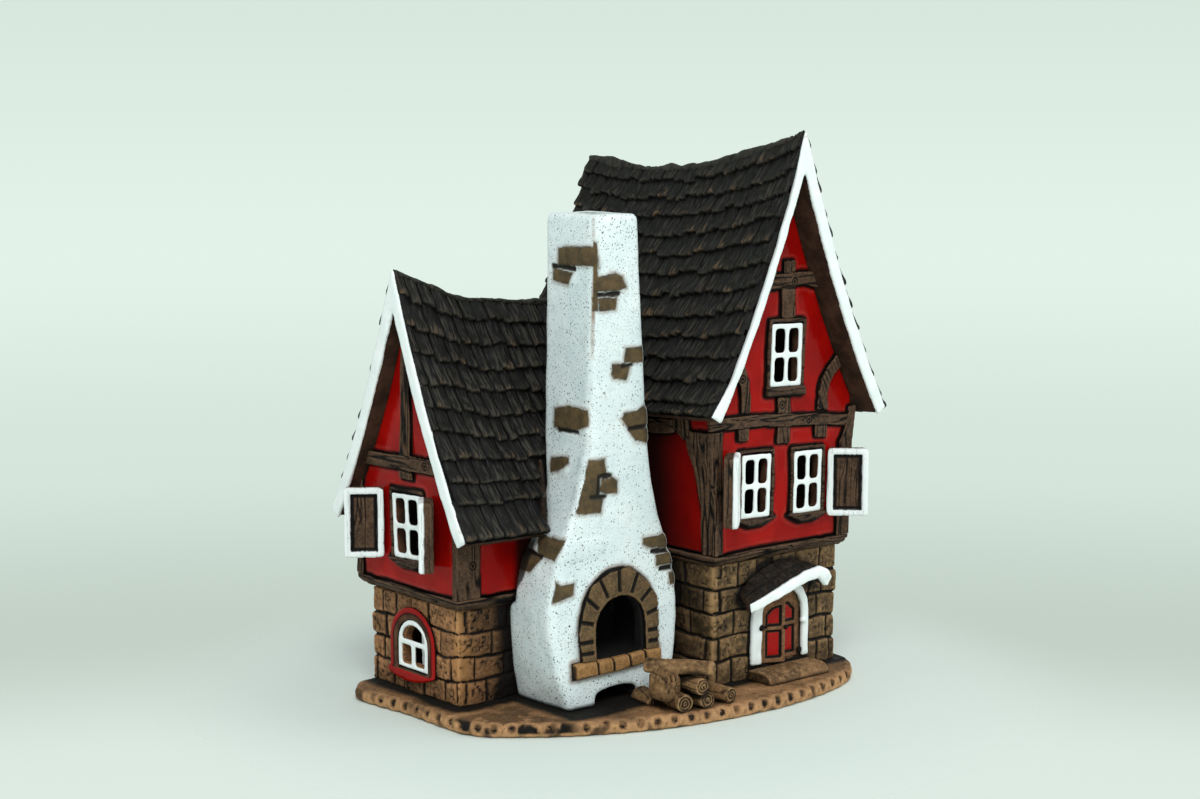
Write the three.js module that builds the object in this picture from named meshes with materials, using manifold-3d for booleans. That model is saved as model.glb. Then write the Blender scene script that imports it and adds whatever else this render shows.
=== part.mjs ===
// Ceramic incense house: two half-timbered wings in an L, a swayback tiled roof on each, and a
// whitewashed chimney in the inner corner. A cone burns in the hearth and its smoke leaves by the
// chimney top; a tea light stands inside each wing, put in through an arch at the back.
// Millimetres, +Z up. The cottage is the low wing, its gable facing -X; the tower is the tall wing,
// its gable facing -Y. While building, x = y = 0 is the cottage's front corner beside the chimney.
import * as THREE from 'three';
import { mergeVertices } from 'three/addons/utils/BufferGeometryUtils.js';
import Module from 'manifold-3d';

const wasm = await Module();
wasm.setup();

// Clay and fits
const WALL = 4;               // thickness of the wall slabs
const ROOF_SLAB = 4;          // thickness of the roof slabs under the tiles
const STRIP = 1.5;            // clay strips for timbers, standing proud of the wall
const SEAT = 0.1;             // slip joint under an applied piece
const FIT = 0.3;              // gap where one piece is cut round another

// Base
const BASE_THICKNESS = 5;
const BASE_EDGE = 1.5;        // rounding of the base's rim
const DIMPLE = 1.5;           // radius of the tool marks along the rim
const DIMPLE_PITCH = 6.5;
const BASE_REACH = 10.5;      // base beyond the low wing's gable
const BASE_APRON = 23.5;      // base in front of the tall wing's gable

// Cottage, the low wing
const COTTAGE_WIDTH = 54;     // across the gable, stone storey
const COTTAGE_LENGTH = 87;    // from its gable to the tower's flank
const COTTAGE_STONE = 35;     // height of the stone storey
const COTTAGE_EAVE = 67;      // top of the roof's edge above the table
const COTTAGE_RIDGE = 144.5;  // lowest point of the ridge
const COTTAGE_RIDGE_RISE = 15;
const COTTAGE_SPREAD = 41;    // ridge to eave, measured level
const COTTAGE_VERGE = 6.5;    // roof beyond the gable wall
const COTTAGE_COURSES = 11;

// Tower, the tall wing
const TOWER_WIDTH = 64.6;
const TOWER_FRONT = 38;       // how far its stone gable stands in front of the cottage's flank
const TOWER_LENGTH = 98;
const TOWER_STONE = 45;
const TOWER_FLARE = 3.2;      // each side wall leans out by this much up to the eave
const TOWER_EAVE = 105;
const TOWER_RIDGE = 192.3;
const TOWER_RIDGE_RISE = 15;
const TOWER_SPREAD = 45;
const TOWER_LEAN = 4.5;       // its right eave hangs lower than the left one by this much
const TOWER_VERGE = 10.5;
const TOWER_COURSES = 12;

// Both storeys and roofs
const JETTY = 3;              // upper storeys stand out over the stone
const SILL_BEAM = 4.5;        // height of the ring of beams between the storeys
const ROOF_BELLY = 0.27;      // how far a slope hangs below a straight line, as a share
const TILE_STEP = 1.2;        // height of a course's lower edge
const TILE_BED = 0.2;
const TRIM = 1.6;             // thickness of the white verge strips
const TRIM_LIP = 0.5;         // they stand this much above the slab and below it

// Rear arches for the tea lights, 38 mm across and 16 mm high
const TEALIGHT = 38;
const TEALIGHT_ROOM = 5;      // free width beside a tea light
const ARCH_HEAD = 4;          // stone left over a rear arch

// Chimney
const CHIMNEY_TOP = 179.5;
const CHIMNEY_DEPTH = 30;     // from the cottage's flank to the stack's front
const CHIMNEY_WALL = 4;
const SMOKE_HOLE = 9;
const CAP = 5;
const HEARTH_WIDTH = 23.3;
const HEARTH_X = 48.5;
const HEARTH_FLOOR = 21.5;
const HEARTH_SPRING = 32.5;   // height where its round arch begins
const HEARTH_RING = 6.9;      // width of the arch stones
const HEARTH_STONES = 11;
const PATCH = 0.5;            // bare bricks stand this much out of the whitewash

// Windows, door and shutters
const PANE_BAR = 2.1;         // width of the white bars
const CASING = 1.5;           // brown strip round a white frame
const FRAME_THICK = 1.3;
const SHUTTER_THICK = 4.8;
const SHUTTER_RIM = 2;
const DOOR_WIDTH = 21.5;
const DOOR_SPRING = 27;       // height where the door's arch begins
const DOOR_ASIDE = 2.6;       // the door stands this much to the right of its gable's middle
const DOOR_JAMB = 4.2;
const DOOR_RECESS = 2;
const DOOR_AJAR = 22;         // degrees

const ground = BASE_THICKNESS;
const rad = THREE.MathUtils.degToRad;

// Colours of the glazes and bare clays
const glaze = (color, roughness = 0.3) => new THREE.MeshStandardMaterial({ color, roughness, metalness: 0 });
const red = () => glaze(0x9a120c, 0.15);
const white = () => glaze(0xe6f0ee, 0.2);
const whitewash = () => glaze(0xcddcdc, 0.35);
const timber = () => glaze(0x54453a, 0.75);
const stone = () => glaze(0x80603f, 0.85);
const brick = () => glaze(0x6a563c, 0.8);
const tiles = () => glaze(0x2e2b28, 0.7);
const terracotta = () => glaze(0xa8683f, 0.85);

// Solids

function solidOf(geometry) {
  const bare = new THREE.BufferGeometry().setAttribute('position', geometry.getAttribute('position'));
  if (geometry.index) bare.setIndex(geometry.index);
  const merged = mergeVertices(bare, 1e-4);
  const triVerts = [];
  const index = merged.index.array;
  for (let i = 0; i < index.length; i += 3) {
    const [a, b, c] = [index[i], index[i + 1], index[i + 2]];
    if (a !== b && b !== c && c !== a) triVerts.push(a, b, c);
  }
  const build = (tris) => new wasm.Manifold(new wasm.Mesh({
    numProp: 3,
    vertProperties: Float32Array.from(merged.attributes.position.array),
    triVerts: Uint32Array.from(tris),
  }));
  let made = build(triVerts);
  if (made.volume() < 0) {
    for (let i = 0; i < triVerts.length; i += 3) [triVerts[i + 1], triVerts[i + 2]] = [triVerts[i + 2], triVerts[i + 1]];
    made = build(triVerts);
  }
  return made;
}

const join = (...solids) => solids.reduce((a, b) => a.add(b));
const cut = (solid, ...tools) => tools.reduce((a, b) => a.subtract(b), solid);
const common = (a, b) => a.intersect(b);

// Closed skin through sections of equal point counts, with a flat cap on each end.
function loft(sections, outline) {
  const count = sections[0].length;
  const position = sections.flat().flatMap((p) => [p.x, p.y, p.z]);
  const index = [];
  for (let s = 0; s + 1 < sections.length; s++) {
    for (let i = 0; i < count; i++) {
      const j = (i + 1) % count;
      const [a, b, c, d] = [s * count + i, s * count + j, (s + 1) * count + j, (s + 1) * count + i];
      index.push(a, b, c, a, c, d);
    }
  }
  const cap = THREE.ShapeUtils.triangulateShape(outline, []);
  const last = (sections.length - 1) * count;
  for (const [a, b, c] of cap) {
    index.push(a, c, b);
    index.push(last + a, last + b, last + c);
  }
  if (THREE.ShapeUtils.area(outline) < 0) {
    for (let i = index.length - cap.length * 6; i < index.length; i += 3) {
      [index[i + 1], index[i + 2]] = [index[i + 2], index[i + 1]];
    }
  }
  const geometry = new THREE.BufferGeometry();
  geometry.setAttribute('position', new THREE.Float32BufferAttribute(position, 3));
  geometry.setIndex(index);
  return solidOf(geometry);
}

const shapeOf = (points) => new THREE.Shape(points.map(([x, y]) => new THREE.Vector2(x, y)));
const extrude = (shape, depth, curveSegments = 5) => new THREE.ExtrudeGeometry(shape, {
  depth, bevelEnabled: false, curveSegments,
});

// A shape drawn on the tower's gable, x across and z up, made solid from y0 to y1.
function facingFront(shape, y0, y1, segments) {
  return solidOf(extrude(shape, y1 - y0, segments).rotateX(Math.PI / 2).translate(0, y1, 0));
}

// A shape drawn on the cottage's gable, y across and z up, made solid from x0 to x1.
function facingSide(shape, x0, x1, segments) {
  const turn = new THREE.Matrix4().set(0, 0, 1, x0, 1, 0, 0, 0, 0, 1, 0, 0, 0, 0, 0, 1);
  return solidOf(extrude(shape, x1 - x0, segments).applyMatrix4(turn));
}


const box = (x0, x1, y0, y1, z0, z1) => solidOf(
  new THREE.BoxGeometry(x1 - x0, y1 - y0, z1 - z0).translate((x0 + x1) / 2, (y0 + y1) / 2, (z0 + z1) / 2),
);

// A round-headed opening, x centred, from bottom to the spring of its arch.
function archShape(centre, width, bottom, spring, rise = width / 2) {
  const shape = new THREE.Shape();
  const half = width / 2;
  shape.moveTo(centre - half, bottom);
  shape.lineTo(centre + half, bottom);
  shape.lineTo(centre + half, spring);
  shape.absellipse(centre, spring, half, rise, 0, Math.PI, false);
  return shape;
}

function roundedRect(x0, x1, z0, z1, r) {
  const shape = new THREE.Shape();
  shape.moveTo(x0 + r, z0);
  shape.lineTo(x1 - r, z0);
  shape.quadraticCurveTo(x1, z0, x1, z0 + r);
  shape.lineTo(x1, z1 - r);
  shape.quadraticCurveTo(x1, z1, x1 - r, z1);
  shape.lineTo(x0 + r, z1);
  shape.quadraticCurveTo(x0, z1, x0, z1 - r);
  shape.lineTo(x0, z0 + r);
  shape.quadraticCurveTo(x0, z0, x0 + r, z0);
  return shape;
}

// A hand-cut strip along a line of points, its width wandering a little.
function stripShape(points, width, wobble = 0.12) {
  const line = new THREE.SplineCurve(points.map(([x, y]) => new THREE.Vector2(x, y)));
  const steps = Math.max(4, Math.round(line.getLength() / 5));
  const sides = [[], []];
  for (let i = 0; i <= steps; i++) {
    const t = i / steps;
    const p = line.getPointAt(t);
    const d = line.getTangentAt(t);
    const half = (width / 2) * (1 + wobble * Math.sin(5.3 * i + points[0][0]));
    sides[0].push([p.x - d.y * half, p.y + d.x * half]);
    sides[1].unshift([p.x + d.y * half, p.y - d.x * half]);
  }
  return shapeOf([...sides[0], ...sides[1]]);
}

// Named pieces, collected as they are made
const house = new THREE.Group();
const pieces = {};

function piece(name, solid, material) {
  const mesh = solid.getMesh();
  const geometry = new THREE.BufferGeometry();
  geometry.setAttribute('position', new THREE.Float32BufferAttribute(mesh.vertProperties, 3));
  geometry.setIndex([...mesh.triVerts]);
  const part = new THREE.Mesh(geometry, material);
  part.name = name;
  house.add(part);
  pieces[name] = solid;
  return solid;
}

// Wings: each has a ridge line, u along it from the verge inwards and v across it

function wing(spec) {
  const place = spec.along === 'y'
    ? (u, v, z) => new THREE.Vector3(spec.centre + v, u, z)
    : (u, v, z) => new THREE.Vector3(u, spec.centre + v, z);
  const ridge = (u) => {
    const reach = u < spec.low ? spec.low - spec.front : spec.back - spec.low;
    const rise = u < spec.low ? spec.rise : spec.riseBack;
    return spec.ridge + rise * ((u - spec.low) / reach) ** 2;
  };
  const eave = (u, side) => spec.eave + spec.eaveFollow * (ridge(u) - spec.ridge) - (side > 0 ? spec.lean : 0);
  // Point of the slope at share s from ridge to eave, h out of the slab's top face.
  const surface = (u, s, h, side) => {
    const height = ridge(u) - eave(u, side);
    const z = ridge(u) - height * (s + ROOF_BELLY * (s - s * s));
    const steep = (height / spec.spread) * (1 + ROOF_BELLY * (1 - 2 * s));
    const length = Math.hypot(1, steep);
    return { v: s * spec.spread + (h * steep) / length, z: z + h / length, steep };
  };
  const atRidge = (u, h) => {
    const { steep } = surface(u, 0, 0, -1);
    return ridge(u) + h * Math.hypot(1, steep);
  };
  return { ...spec, place, ridge, eave, surface, atRidge };
}

const cottage = wing({
  along: 'x', centre: COTTAGE_WIDTH / 2 - 1, lean: 0, front: -JETTY - COTTAGE_VERGE, back: COTTAGE_LENGTH + 20,
  low: COTTAGE_LENGTH - 25, rise: COTTAGE_RIDGE_RISE, riseBack: 1, spread: COTTAGE_SPREAD,
  eave: COTTAGE_EAVE, eaveFollow: 0.05, ridge: COTTAGE_RIDGE, courses: COTTAGE_COURSES,
});
const towerBack = TOWER_LENGTH - TOWER_FRONT;
const towerX = COTTAGE_LENGTH + TOWER_WIDTH / 2;
const tower = wing({
  along: 'y', centre: towerX, lean: TOWER_LEAN, front: -TOWER_FRONT - JETTY - TOWER_VERGE, back: towerBack + TOWER_VERGE,
  low: TOWER_LENGTH * 0.7 - TOWER_FRONT, rise: TOWER_RIDGE_RISE, riseBack: 4, spread: TOWER_SPREAD,
  eave: TOWER_EAVE, eaveFollow: 0.18, ridge: TOWER_RIDGE, courses: TOWER_COURSES,
});

const undersideShares = [1, 0.85, 0.7, 0.55, 0.4, 0.27, 0.16];

// One slope between its ridge and its eave. The top face is stepped by the courses of tiles.
// Grown by a margin it serves to cut its neighbours.
function slopeSection(w, u, side, grow) {
  const points = [[0, w.atRidge(u, TILE_BED + grow)]];
  const past = (s) => (s === 1 ? 1 + grow / w.spread : s);
  for (let i = 1; i <= w.courses; i++) {
    const lower = w.surface(u, past(i / w.courses), TILE_STEP + grow, side);
    points.push([lower.v, lower.z]);
    if (i < w.courses) {
      const next = w.surface(u, i / w.courses, TILE_BED + grow, side);
      points.push([next.v, next.z]);
    }
  }
  for (const s of undersideShares) {
    const under = w.surface(u, past(s), -ROOF_SLAB - grow, side);
    points.push([under.v, under.z]);
  }
  points.push([0, w.atRidge(u, -ROOF_SLAB - grow)]);
  return points.map(([v, z]) => [side * ((v > 0 ? v : -2 * grow) + FIT / 2), z]);
}

function slope(w, side, grow = 0) {
  const from = w.front + TRIM;
  const stations = Array.from({ length: 12 }, (_, i) => from + ((w.back - from) * i) / 11);
  const sections = stations.map((u) => slopeSection(w, u, side, grow).map(([v, z]) => w.place(u, v, z)));
  return loft(sections, slopeSection(w, from, side, grow).map(([v, z]) => new THREE.Vector2(v, z)));
}

// The chevron between two offsets of the roof, from one verge to the other.
function chevron(w, u0, u1, above, below, stations = 2) {
  const shares = [0.16, 0.3, 0.45, 0.6, 0.75, 0.88, 1];
  const outline = (u) => {
    const edge = (side, h) => shares.map((s) => w.surface(u, s, h, side)).map((p) => [side * p.v, p.z]);
    return [[0, w.atRidge(u, above)], ...edge(1, above), ...edge(1, -below).reverse(), [0, w.atRidge(u, -below)],
      ...edge(-1, -below), ...edge(-1, above).reverse()];
  };
  const steps = Array.from({ length: stations }, (_, i) => u0 + ((u1 - u0) * i) / (stations - 1));
  return loft(
    steps.map((u) => outline(u).map(([v, z]) => w.place(u, v, z))),
    outline(u0).map(([v, z]) => new THREE.Vector2(v, z)),
  );
}

// Everything above the roof slabs' underside, used to trim the walls to the roof.
function aboveRoof(w, gap = FIT) {
  const outline = (u) => {
    const under = (side) => undersideShares.map((s) => w.surface(u, s, -ROOF_SLAB - gap, side))
      .map((p) => [side * p.v, p.z]);
    const [left, right] = [under(-1), under(1)];
    const [wide, high] = [w.spread * 1.3, TOWER_RIDGE * 1.5];
    return [...left, [0, w.atRidge(u, -ROOF_SLAB - gap)], ...right.reverse(),
      [wide, right.at(-1)[1]], [wide, high], [-wide, high], [-wide, left[0][1]]];
  };
  const steps = Array.from({ length: 12 }, (_, i) => w.front - 5 + ((w.back - w.front + 10) * i) / 11);
  return loft(
    steps.map((u) => outline(u).map(([v, z]) => w.place(u, v, z))),
    outline(steps[0]).map(([v, z]) => new THREE.Vector2(v, z)),
  );
}

// Blocks that the storeys fill, grown outwards by an offset

const cottageSillZ = ground + COTTAGE_STONE;
const cottageUpperZ = cottageSillZ + SILL_BEAM;
const towerSillZ = ground + TOWER_STONE;
const towerUpperZ = towerSillZ + SILL_BEAM;
const skyZ = TOWER_RIDGE + TOWER_RIDGE_RISE;

const cottageStone = (d) => box(-d, COTTAGE_LENGTH + 5, -d, COTTAGE_WIDTH + d, ground, cottageSillZ);
const towerStone = (d) => box(
  COTTAGE_LENGTH - d, COTTAGE_LENGTH + TOWER_WIDTH + d, -TOWER_FRONT - d, towerBack + d, ground, towerSillZ);

function cottageUpper(d) {
  const out = JETTY + d;
  return facingSide(
    shapeOf([[-out, cottageUpperZ], [COTTAGE_WIDTH + out, cottageUpperZ], [COTTAGE_WIDTH + out, skyZ], [-out, skyZ]]),
    -out, COTTAGE_LENGTH + 5);
}

// The tower's upper storey leans out to the eave, so its section is a trapezium with a bowed side.
function towerUpper(d) {
  const left = COTTAGE_LENGTH - JETTY / 2 - d;
  const right = COTTAGE_LENGTH + TOWER_WIDTH + JETTY / 2 + d;
  const shape = new THREE.Shape();
  shape.moveTo(left, towerUpperZ);
  shape.lineTo(right, towerUpperZ);
  shape.quadraticCurveTo(right, TOWER_EAVE - 22, right + TOWER_FLARE, TOWER_EAVE);
  shape.lineTo(right + TOWER_FLARE, skyZ);
  shape.lineTo(left - TOWER_FLARE, skyZ);
  shape.lineTo(left - TOWER_FLARE, TOWER_EAVE);
  shape.quadraticCurveTo(left, TOWER_EAVE - 22, left, towerUpperZ);
  return facingFront(shape, -TOWER_FRONT - JETTY - d, towerBack + d, 5);
}

const overCottage = aboveRoof(cottage);
const overTower = aboveRoof(tower);
const towerRoofBody = join(slope(tower, -1, FIT), slope(tower, 1, FIT));
const towerMass = join(
  towerStone(FIT),
  box(COTTAGE_LENGTH - FIT, COTTAGE_LENGTH + TOWER_WIDTH, -TOWER_FRONT, towerBack, towerSillZ, towerUpperZ),
  cut(towerUpper(FIT), aboveRoof(tower, -ROOF_SLAB / 2)),
  towerRoofBody,
  box(COTTAGE_LENGTH, COTTAGE_LENGTH + TOWER_WIDTH, towerBack - 1, 2 * towerBack, ground, TOWER_EAVE),
);

// Chimney: a rounded four-sided stack, wide at the hearth, drawn in above it

// Corners of the stack at each height, x from the hearth's middle: left side in front and at the
// back, right side; y of the front from the hearth's depth, and of the back.
const waist = (share) => cottageSillZ + 1.5 + share * (CHIMNEY_TOP - cottageSillZ - 2.7);
const [onStone, onPlaster] = [-FIT, -JETTY - FIT];
const stackLevels = [
  [ground, -22.9, -24, 24.1, 0, onStone],
  [ground + 12, -27.9, -26.3, 27.5, 0, onStone],
  [cottageSillZ - 8, -30.6, -27.3, 30, 1, onStone],
  [cottageSillZ - 1, -30.9, -27.4, 29.8, 1.4, onStone],
  [waist(0), -30.8, -27.3, 29.5, 1.5, onPlaster],
  [waist(0.062), -29.3, -25.8, 28.3, 1.8, onPlaster],
  [waist(0.135), -26.3, -21.8, 25.5, 2, onPlaster],
  [waist(0.208), -21.8, -16.5, 21.8, 2, onPlaster],
  [waist(0.296), -16.3, -12.2, 18.5, 2, onPlaster],
  [waist(0.413), -12.2, -10.1, 16.2, 2, 0.4],
  [waist(0.545), -11.6, -9.3, 14.8, 2, 0.9],
  [waist(0.72), -10.5, -8.9, 13.5, 2.2, 0.9],
  [waist(0.903), -9.8, -8.7, 12.5, 2.6, 0.8],
  [waist(1), -9.7, -8.6, 12, 2.8, 0.7],
  [CHIMNEY_TOP, -8.7, -7.6, 11, 3.8, -0.3],
].map(([z, leftFront, leftBack, right, front, back]) => [
  z, HEARTH_X + leftFront, HEARTH_X + leftBack, HEARTH_X + right, front - CHIMNEY_DEPTH, back]);

function stackSection([z, leftFront, leftBack, right, front, back], d, corner = 2.2) {
  const corners = [[leftFront - d, front - d], [right + d, front - d], [right + 0.5 + d, back + d], [leftBack - d, back + d]];
  const points = [];
  corners.forEach(([x, y], i) => {
    const [px, py] = corners[(i + 3) % 4];
    const [nx, ny] = corners[(i + 1) % 4];
    const toward = (qx, qy, r) => { const l = Math.hypot(qx - x, qy - y); return [x + ((qx - x) * r) / l, y + ((qy - y) * r) / l]; };
    const [ax, ay] = toward(px, py, corner);
    const [bx, by] = toward(nx, ny, corner);
    for (const t of [0, 0.5, 1]) {
      const k = 1 - t;
      points.push(new THREE.Vector3(
        k * k * ax + 2 * k * t * x + t * t * bx, k * k * ay + 2 * k * t * y + t * t * by, z));
    }
  });
  return points;
}

function stack(d) {
  const sections = stackLevels.map((level) => stackSection(level, d));
  return loft(sections, sections[0].map((p) => new THREE.Vector2(p.x, p.y)));
}

// The hollow runs from the hearth floor up the flue to the cap.
function flue() {
  const rear = onPlaster - CHIMNEY_WALL;
  const levels = [
    [HEARTH_FLOOR, -15, 17.5, 1.5, onStone - CHIMNEY_WALL - 1.2],
    [waist(0.026), -15, 17.5, 2, rear],
    [waist(0.15), -12, 17.5, 2.2, rear],
    [waist(0.281), -8.7, 13.5, 2.4, rear],
    [waist(0.428), -6.3, 11.5, 2.6, rear + 2.3],
    [CHIMNEY_TOP - CAP, -4.5, 7.9, 3.2, rear + 3.7],
  ].map(([z, x0, x1, y0, y1]) => [z, HEARTH_X + x0, HEARTH_X + x1, y0 + CHIMNEY_WALL - CHIMNEY_DEPTH, y1]);
  const sections = levels.map(([z, x0, x1, y0, y1]) => [[x0, y0], [x1, y0], [x1, y1], [x0, y1]]
    .map(([x, y]) => new THREE.Vector3(x, y, z)));
  return loft(sections, sections[0].map((p) => new THREE.Vector2(p.x, p.y)));
}

// Bare bricks: on the front x from the hearth's middle, on the side y from the front, and how far
// each one's lower and upper edge lie below the chimney's top.
const frontBricks = [
  [-8.3, 5.5, 26.9, 21.1], [-7.7, 1.1, 33.6, 28.9], [4.1, 13.5, 52.9, 47.2], [-2.1, 6.1, 58.8, 52.5],
  [3, 16.5, 75.9, 69.5], [6.5, 17, 82.2, 76.9], [-14, -4.9, 95, 85.5], [-17.5, -6, 105.2, 94.5], [-7.3, 1.1, 98.5, 93],
  [13, 26, 121.1, 116.9], [18.5, 28.5, 128.5, 123.5], [24.9, 30.5, 135.9, 131], [-28.5, -19.2, 134, 128],
];
const sideBricks = [
  [-1, 22.8, 18, 11.2], [13.2, 25.9, 25, 20], [3.5, 23.6, 76.5, 68.3], [13, 24.2, 92.2, 86.5],
  [1, 20, 120.5, 114], [12.7, 29.7, 127, 121],
];

const stackSkin = stack(PATCH);
const bareBricks = [
  ...frontBricks.map(([x0, x1, low, high], i) => common(stackSkin, facingFront(shapeOf([
    [x0 + 0.5 * (i % 3), -low], [x1, 0.6 * (i % 2) - low], [x1 - 0.7, -high], [x0, -high - 0.5 * (i % 2)],
  ]), -CHIMNEY_DEPTH - 4, 6 - CHIMNEY_DEPTH).translate([HEARTH_X, 0, CHIMNEY_TOP]))),
  ...sideBricks.map(([y0, y1, low, high], i) => common(stackSkin, facingSide(shapeOf([
    [y0, 0.5 * (i % 2) - low], [y1, -low], [y1 - 0.6, -high - 0.5], [y0, -high],
  ]), HEARTH_X - 34, HEARTH_X - 6).translate([0, -CHIMNEY_DEPTH, CHIMNEY_TOP]))),
];
const hearthMouth = archShape(HEARTH_X, HEARTH_WIDTH, HEARTH_FLOOR, HEARTH_SPRING);
const ashNotch = archShape(HEARTH_X - 0.8, 19.7, ground - 1, ground + 3.4, 2.4);
const chimney = piece('chimney_stack', cut(
  join(stack(0), ...bareBricks),
  flue(),
  facingFront(hearthMouth, -CHIMNEY_DEPTH - 4, 6 - CHIMNEY_DEPTH),
  facingFront(ashNotch, -CHIMNEY_DEPTH - 4, 16 - CHIMNEY_DEPTH),
  solidOf(new THREE.CylinderGeometry(SMOKE_HOLE / 2, SMOKE_HOLE / 2, 3 * CAP, 20).rotateX(Math.PI / 2)
    .translate(HEARTH_X + 1.7, 17 - CHIMNEY_DEPTH, CHIMNEY_TOP - CAP / 2)),
), whitewash());
const chimneyMass = stack(PATCH + FIT);

// Hearth arch and sill, laid on the face of the stack

const archProud = STRIP + PATCH;
const jointDepth = 0.5;
const ringStones = HEARTH_STONES - 4;
const ringSweep = Math.PI / ringStones;
const ringMiddle = (HEARTH_WIDTH + HEARTH_RING) / 2;

// Stones of the half round, then two more on each side down to the sill.
function hearthRing() {
  const inner = HEARTH_WIDTH / 2;
  const foot = HEARTH_FLOOR + 0.6;
  const shape = new THREE.Shape();
  shape.moveTo(HEARTH_X - inner - HEARTH_RING + 0.6, foot);
  shape.lineTo(HEARTH_X - inner, foot);
  shape.lineTo(HEARTH_X - inner, HEARTH_SPRING);
  shape.absarc(HEARTH_X, HEARTH_SPRING, inner, Math.PI, 0, true);
  shape.lineTo(HEARTH_X + inner, foot);
  shape.lineTo(HEARTH_X + inner + HEARTH_RING - 0.4, foot);
  for (let i = 0; i <= ringStones; i++) {
    const reach = inner + HEARTH_RING + (i % 2 ? 0.9 : -0.2) + 2.8 * Math.sin(i * ringSweep) ** 2;
    shape.lineTo(HEARTH_X + reach * Math.cos(i * ringSweep), HEARTH_SPRING + reach * Math.sin(i * ringSweep));
  }
  return facingFront(shape, -CHIMNEY_DEPTH - 10, 4 - CHIMNEY_DEPTH);
}

function hearthJoints() {
  const across = (geometry) => solidOf(geometry.translate(HEARTH_X, -CHIMNEY_DEPTH, HEARTH_SPRING));
  const joint = () => new THREE.BoxGeometry(HEARTH_RING + 3, 12, 0.6);
  const radial = Array.from({ length: ringStones }, (_, i) => across(
    joint().translate(ringMiddle + 0.8, 0, 0).rotateY(-(i + 0.5) * ringSweep)));
  const legs = [-1, 1].flatMap((side) => [-3.2, -7.2].map((drop) => across(
    joint().translate(side * (ringMiddle + 0.8), 0, drop))));
  return cut(join(...radial, ...legs), stack(archProud - jointDepth));
}
piece('hearth_arch', cut(common(hearthRing(), stack(archProud)), hearthJoints(), stack(SEAT + PATCH)), brick());

const sillLeft = HEARTH_X - HEARTH_WIDTH / 2 - 9.6;
const sillRight = HEARTH_X + HEARTH_WIDTH / 2 + 6.8;
const sillBricks = 5;
const sillJoints = Array.from({ length: sillBricks - 1 }, (_, i) => {
  const x = sillLeft + ((sillRight - sillLeft) * (i + 1)) / sillBricks;
  return box(x - 0.35, x + 0.35, -CHIMNEY_DEPTH - 10, -CHIMNEY_DEPTH - 1.3, 0, HEARTH_FLOOR + 9);
});
const hearthSill = facingFront(shapeOf([[sillLeft, HEARTH_FLOOR - 4.6], [sillRight, HEARTH_FLOOR - 3.2],
  [sillRight, HEARTH_FLOOR + 0.3], [sillLeft, HEARTH_FLOOR]]), -CHIMNEY_DEPTH - 2, 5 - CHIMNEY_DEPTH);
piece('hearth_sill', cut(hearthSill, stack(SEAT), ...sillJoints), brick());

// Base: a hand-cut slab of terracotta, its rim pressed with a row of tool marks

const towerRight = COTTAGE_LENGTH + TOWER_WIDTH;
const apron = -TOWER_FRONT - BASE_APRON;
const baseOutline = new THREE.CatmullRomCurve3([
  [-BASE_REACH, 17], [-BASE_REACH, -2], [2 - BASE_REACH, -18], [8.5, apron + 27], [26, apron + 16],
  [COTTAGE_LENGTH - 36, apron + 5.5], [COTTAGE_LENGTH - 9, apron], [towerX - 3.3, apron], [towerRight - 5.6, apron + 9],
  [towerRight + 6.4, -TOWER_FRONT], [towerRight + 7.4, -8], [towerRight + 6.4, towerBack - 18],
  [towerRight + 0.4, towerBack + 1.5], [COTTAGE_LENGTH + 13, towerBack + 1], [COTTAGE_LENGTH - 3, COTTAGE_WIDTH + 2],
  [COTTAGE_LENGTH - 47, COTTAGE_WIDTH + 1.5], [2, COTTAGE_WIDTH + 1], [-BASE_REACH - 1.5, COTTAGE_WIDTH - 2.5],
].map(([x, y]) => new THREE.Vector3(x, y, 0)), true, 'centripetal');
const basePoints = baseOutline.getSpacedPoints(52).slice(0, -1);
const baseSlab = solidOf(new THREE.ExtrudeGeometry(new THREE.Shape(basePoints.map((p) => new THREE.Vector2(p.x, p.y))), {
  depth: BASE_THICKNESS - BASE_EDGE, bevelThickness: BASE_EDGE / 2, bevelSize: BASE_EDGE,
  bevelOffset: -BASE_EDGE, bevelSegments: 1,
}).translate(0, 0, BASE_EDGE / 2));
const dimpled = 0.46;         // share of the rim, along the front, that is pressed with marks
const rimMarks = Math.floor((dimpled * baseOutline.getLength()) / DIMPLE_PITCH);
const dimples = Array.from({ length: rimMarks }, (_, i) => {
  const t = ((i / rimMarks) * dimpled + 0.97) % 1;
  const p = baseOutline.getPointAt(t);
  const inward = new THREE.Vector3(0, 0, 1).cross(baseOutline.getTangentAt(t));
  const at = p.addScaledVector(inward, BASE_EDGE * 0.5);
  return solidOf(new THREE.CylinderGeometry(DIMPLE, DIMPLE * 0.4, 2 * DIMPLE, 6).rotateX(Math.PI / 2)
    .translate(at.x, at.y, BASE_THICKNESS));
});
piece('base_plate', cut(baseSlab, ...dimples), terracotta());

// Stone storeys

// Mortar lines cut into a wall face that runs from a to b, its stones staggered course by course.
function mortar(facing, plane, a, b, z0, z1, courses, stones) {
  const deep = 0.5;
  const half = 0.35;
  const line = (p0, p1, q0, q1) => facing(shapeOf([[p0, q0], [p1, q0], [p1, q1], [p0, q1]]), plane - 1, plane + deep);
  const joints = [];
  const rise = (z1 - z0) / courses;
  for (let i = 0; i < courses; i++) {
    const bottom = z0 + i * rise;
    if (i > 0) joints.push(line(a + 1.5, b - 1.5, bottom - half, bottom + half));
    const length = (b - a) / stones;
    for (let k = 1; k < stones + (i % 2); k++) {
      const at = a + (k - 0.5 * (i % 2)) * length + 1.2 * Math.sin(3 * k + 5 * i);
      joints.push(line(at - half, at + half, bottom + (i > 0 ? 0 : half), bottom + rise));
    }
  }
  return wasm.Manifold.union(joints);
}

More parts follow.
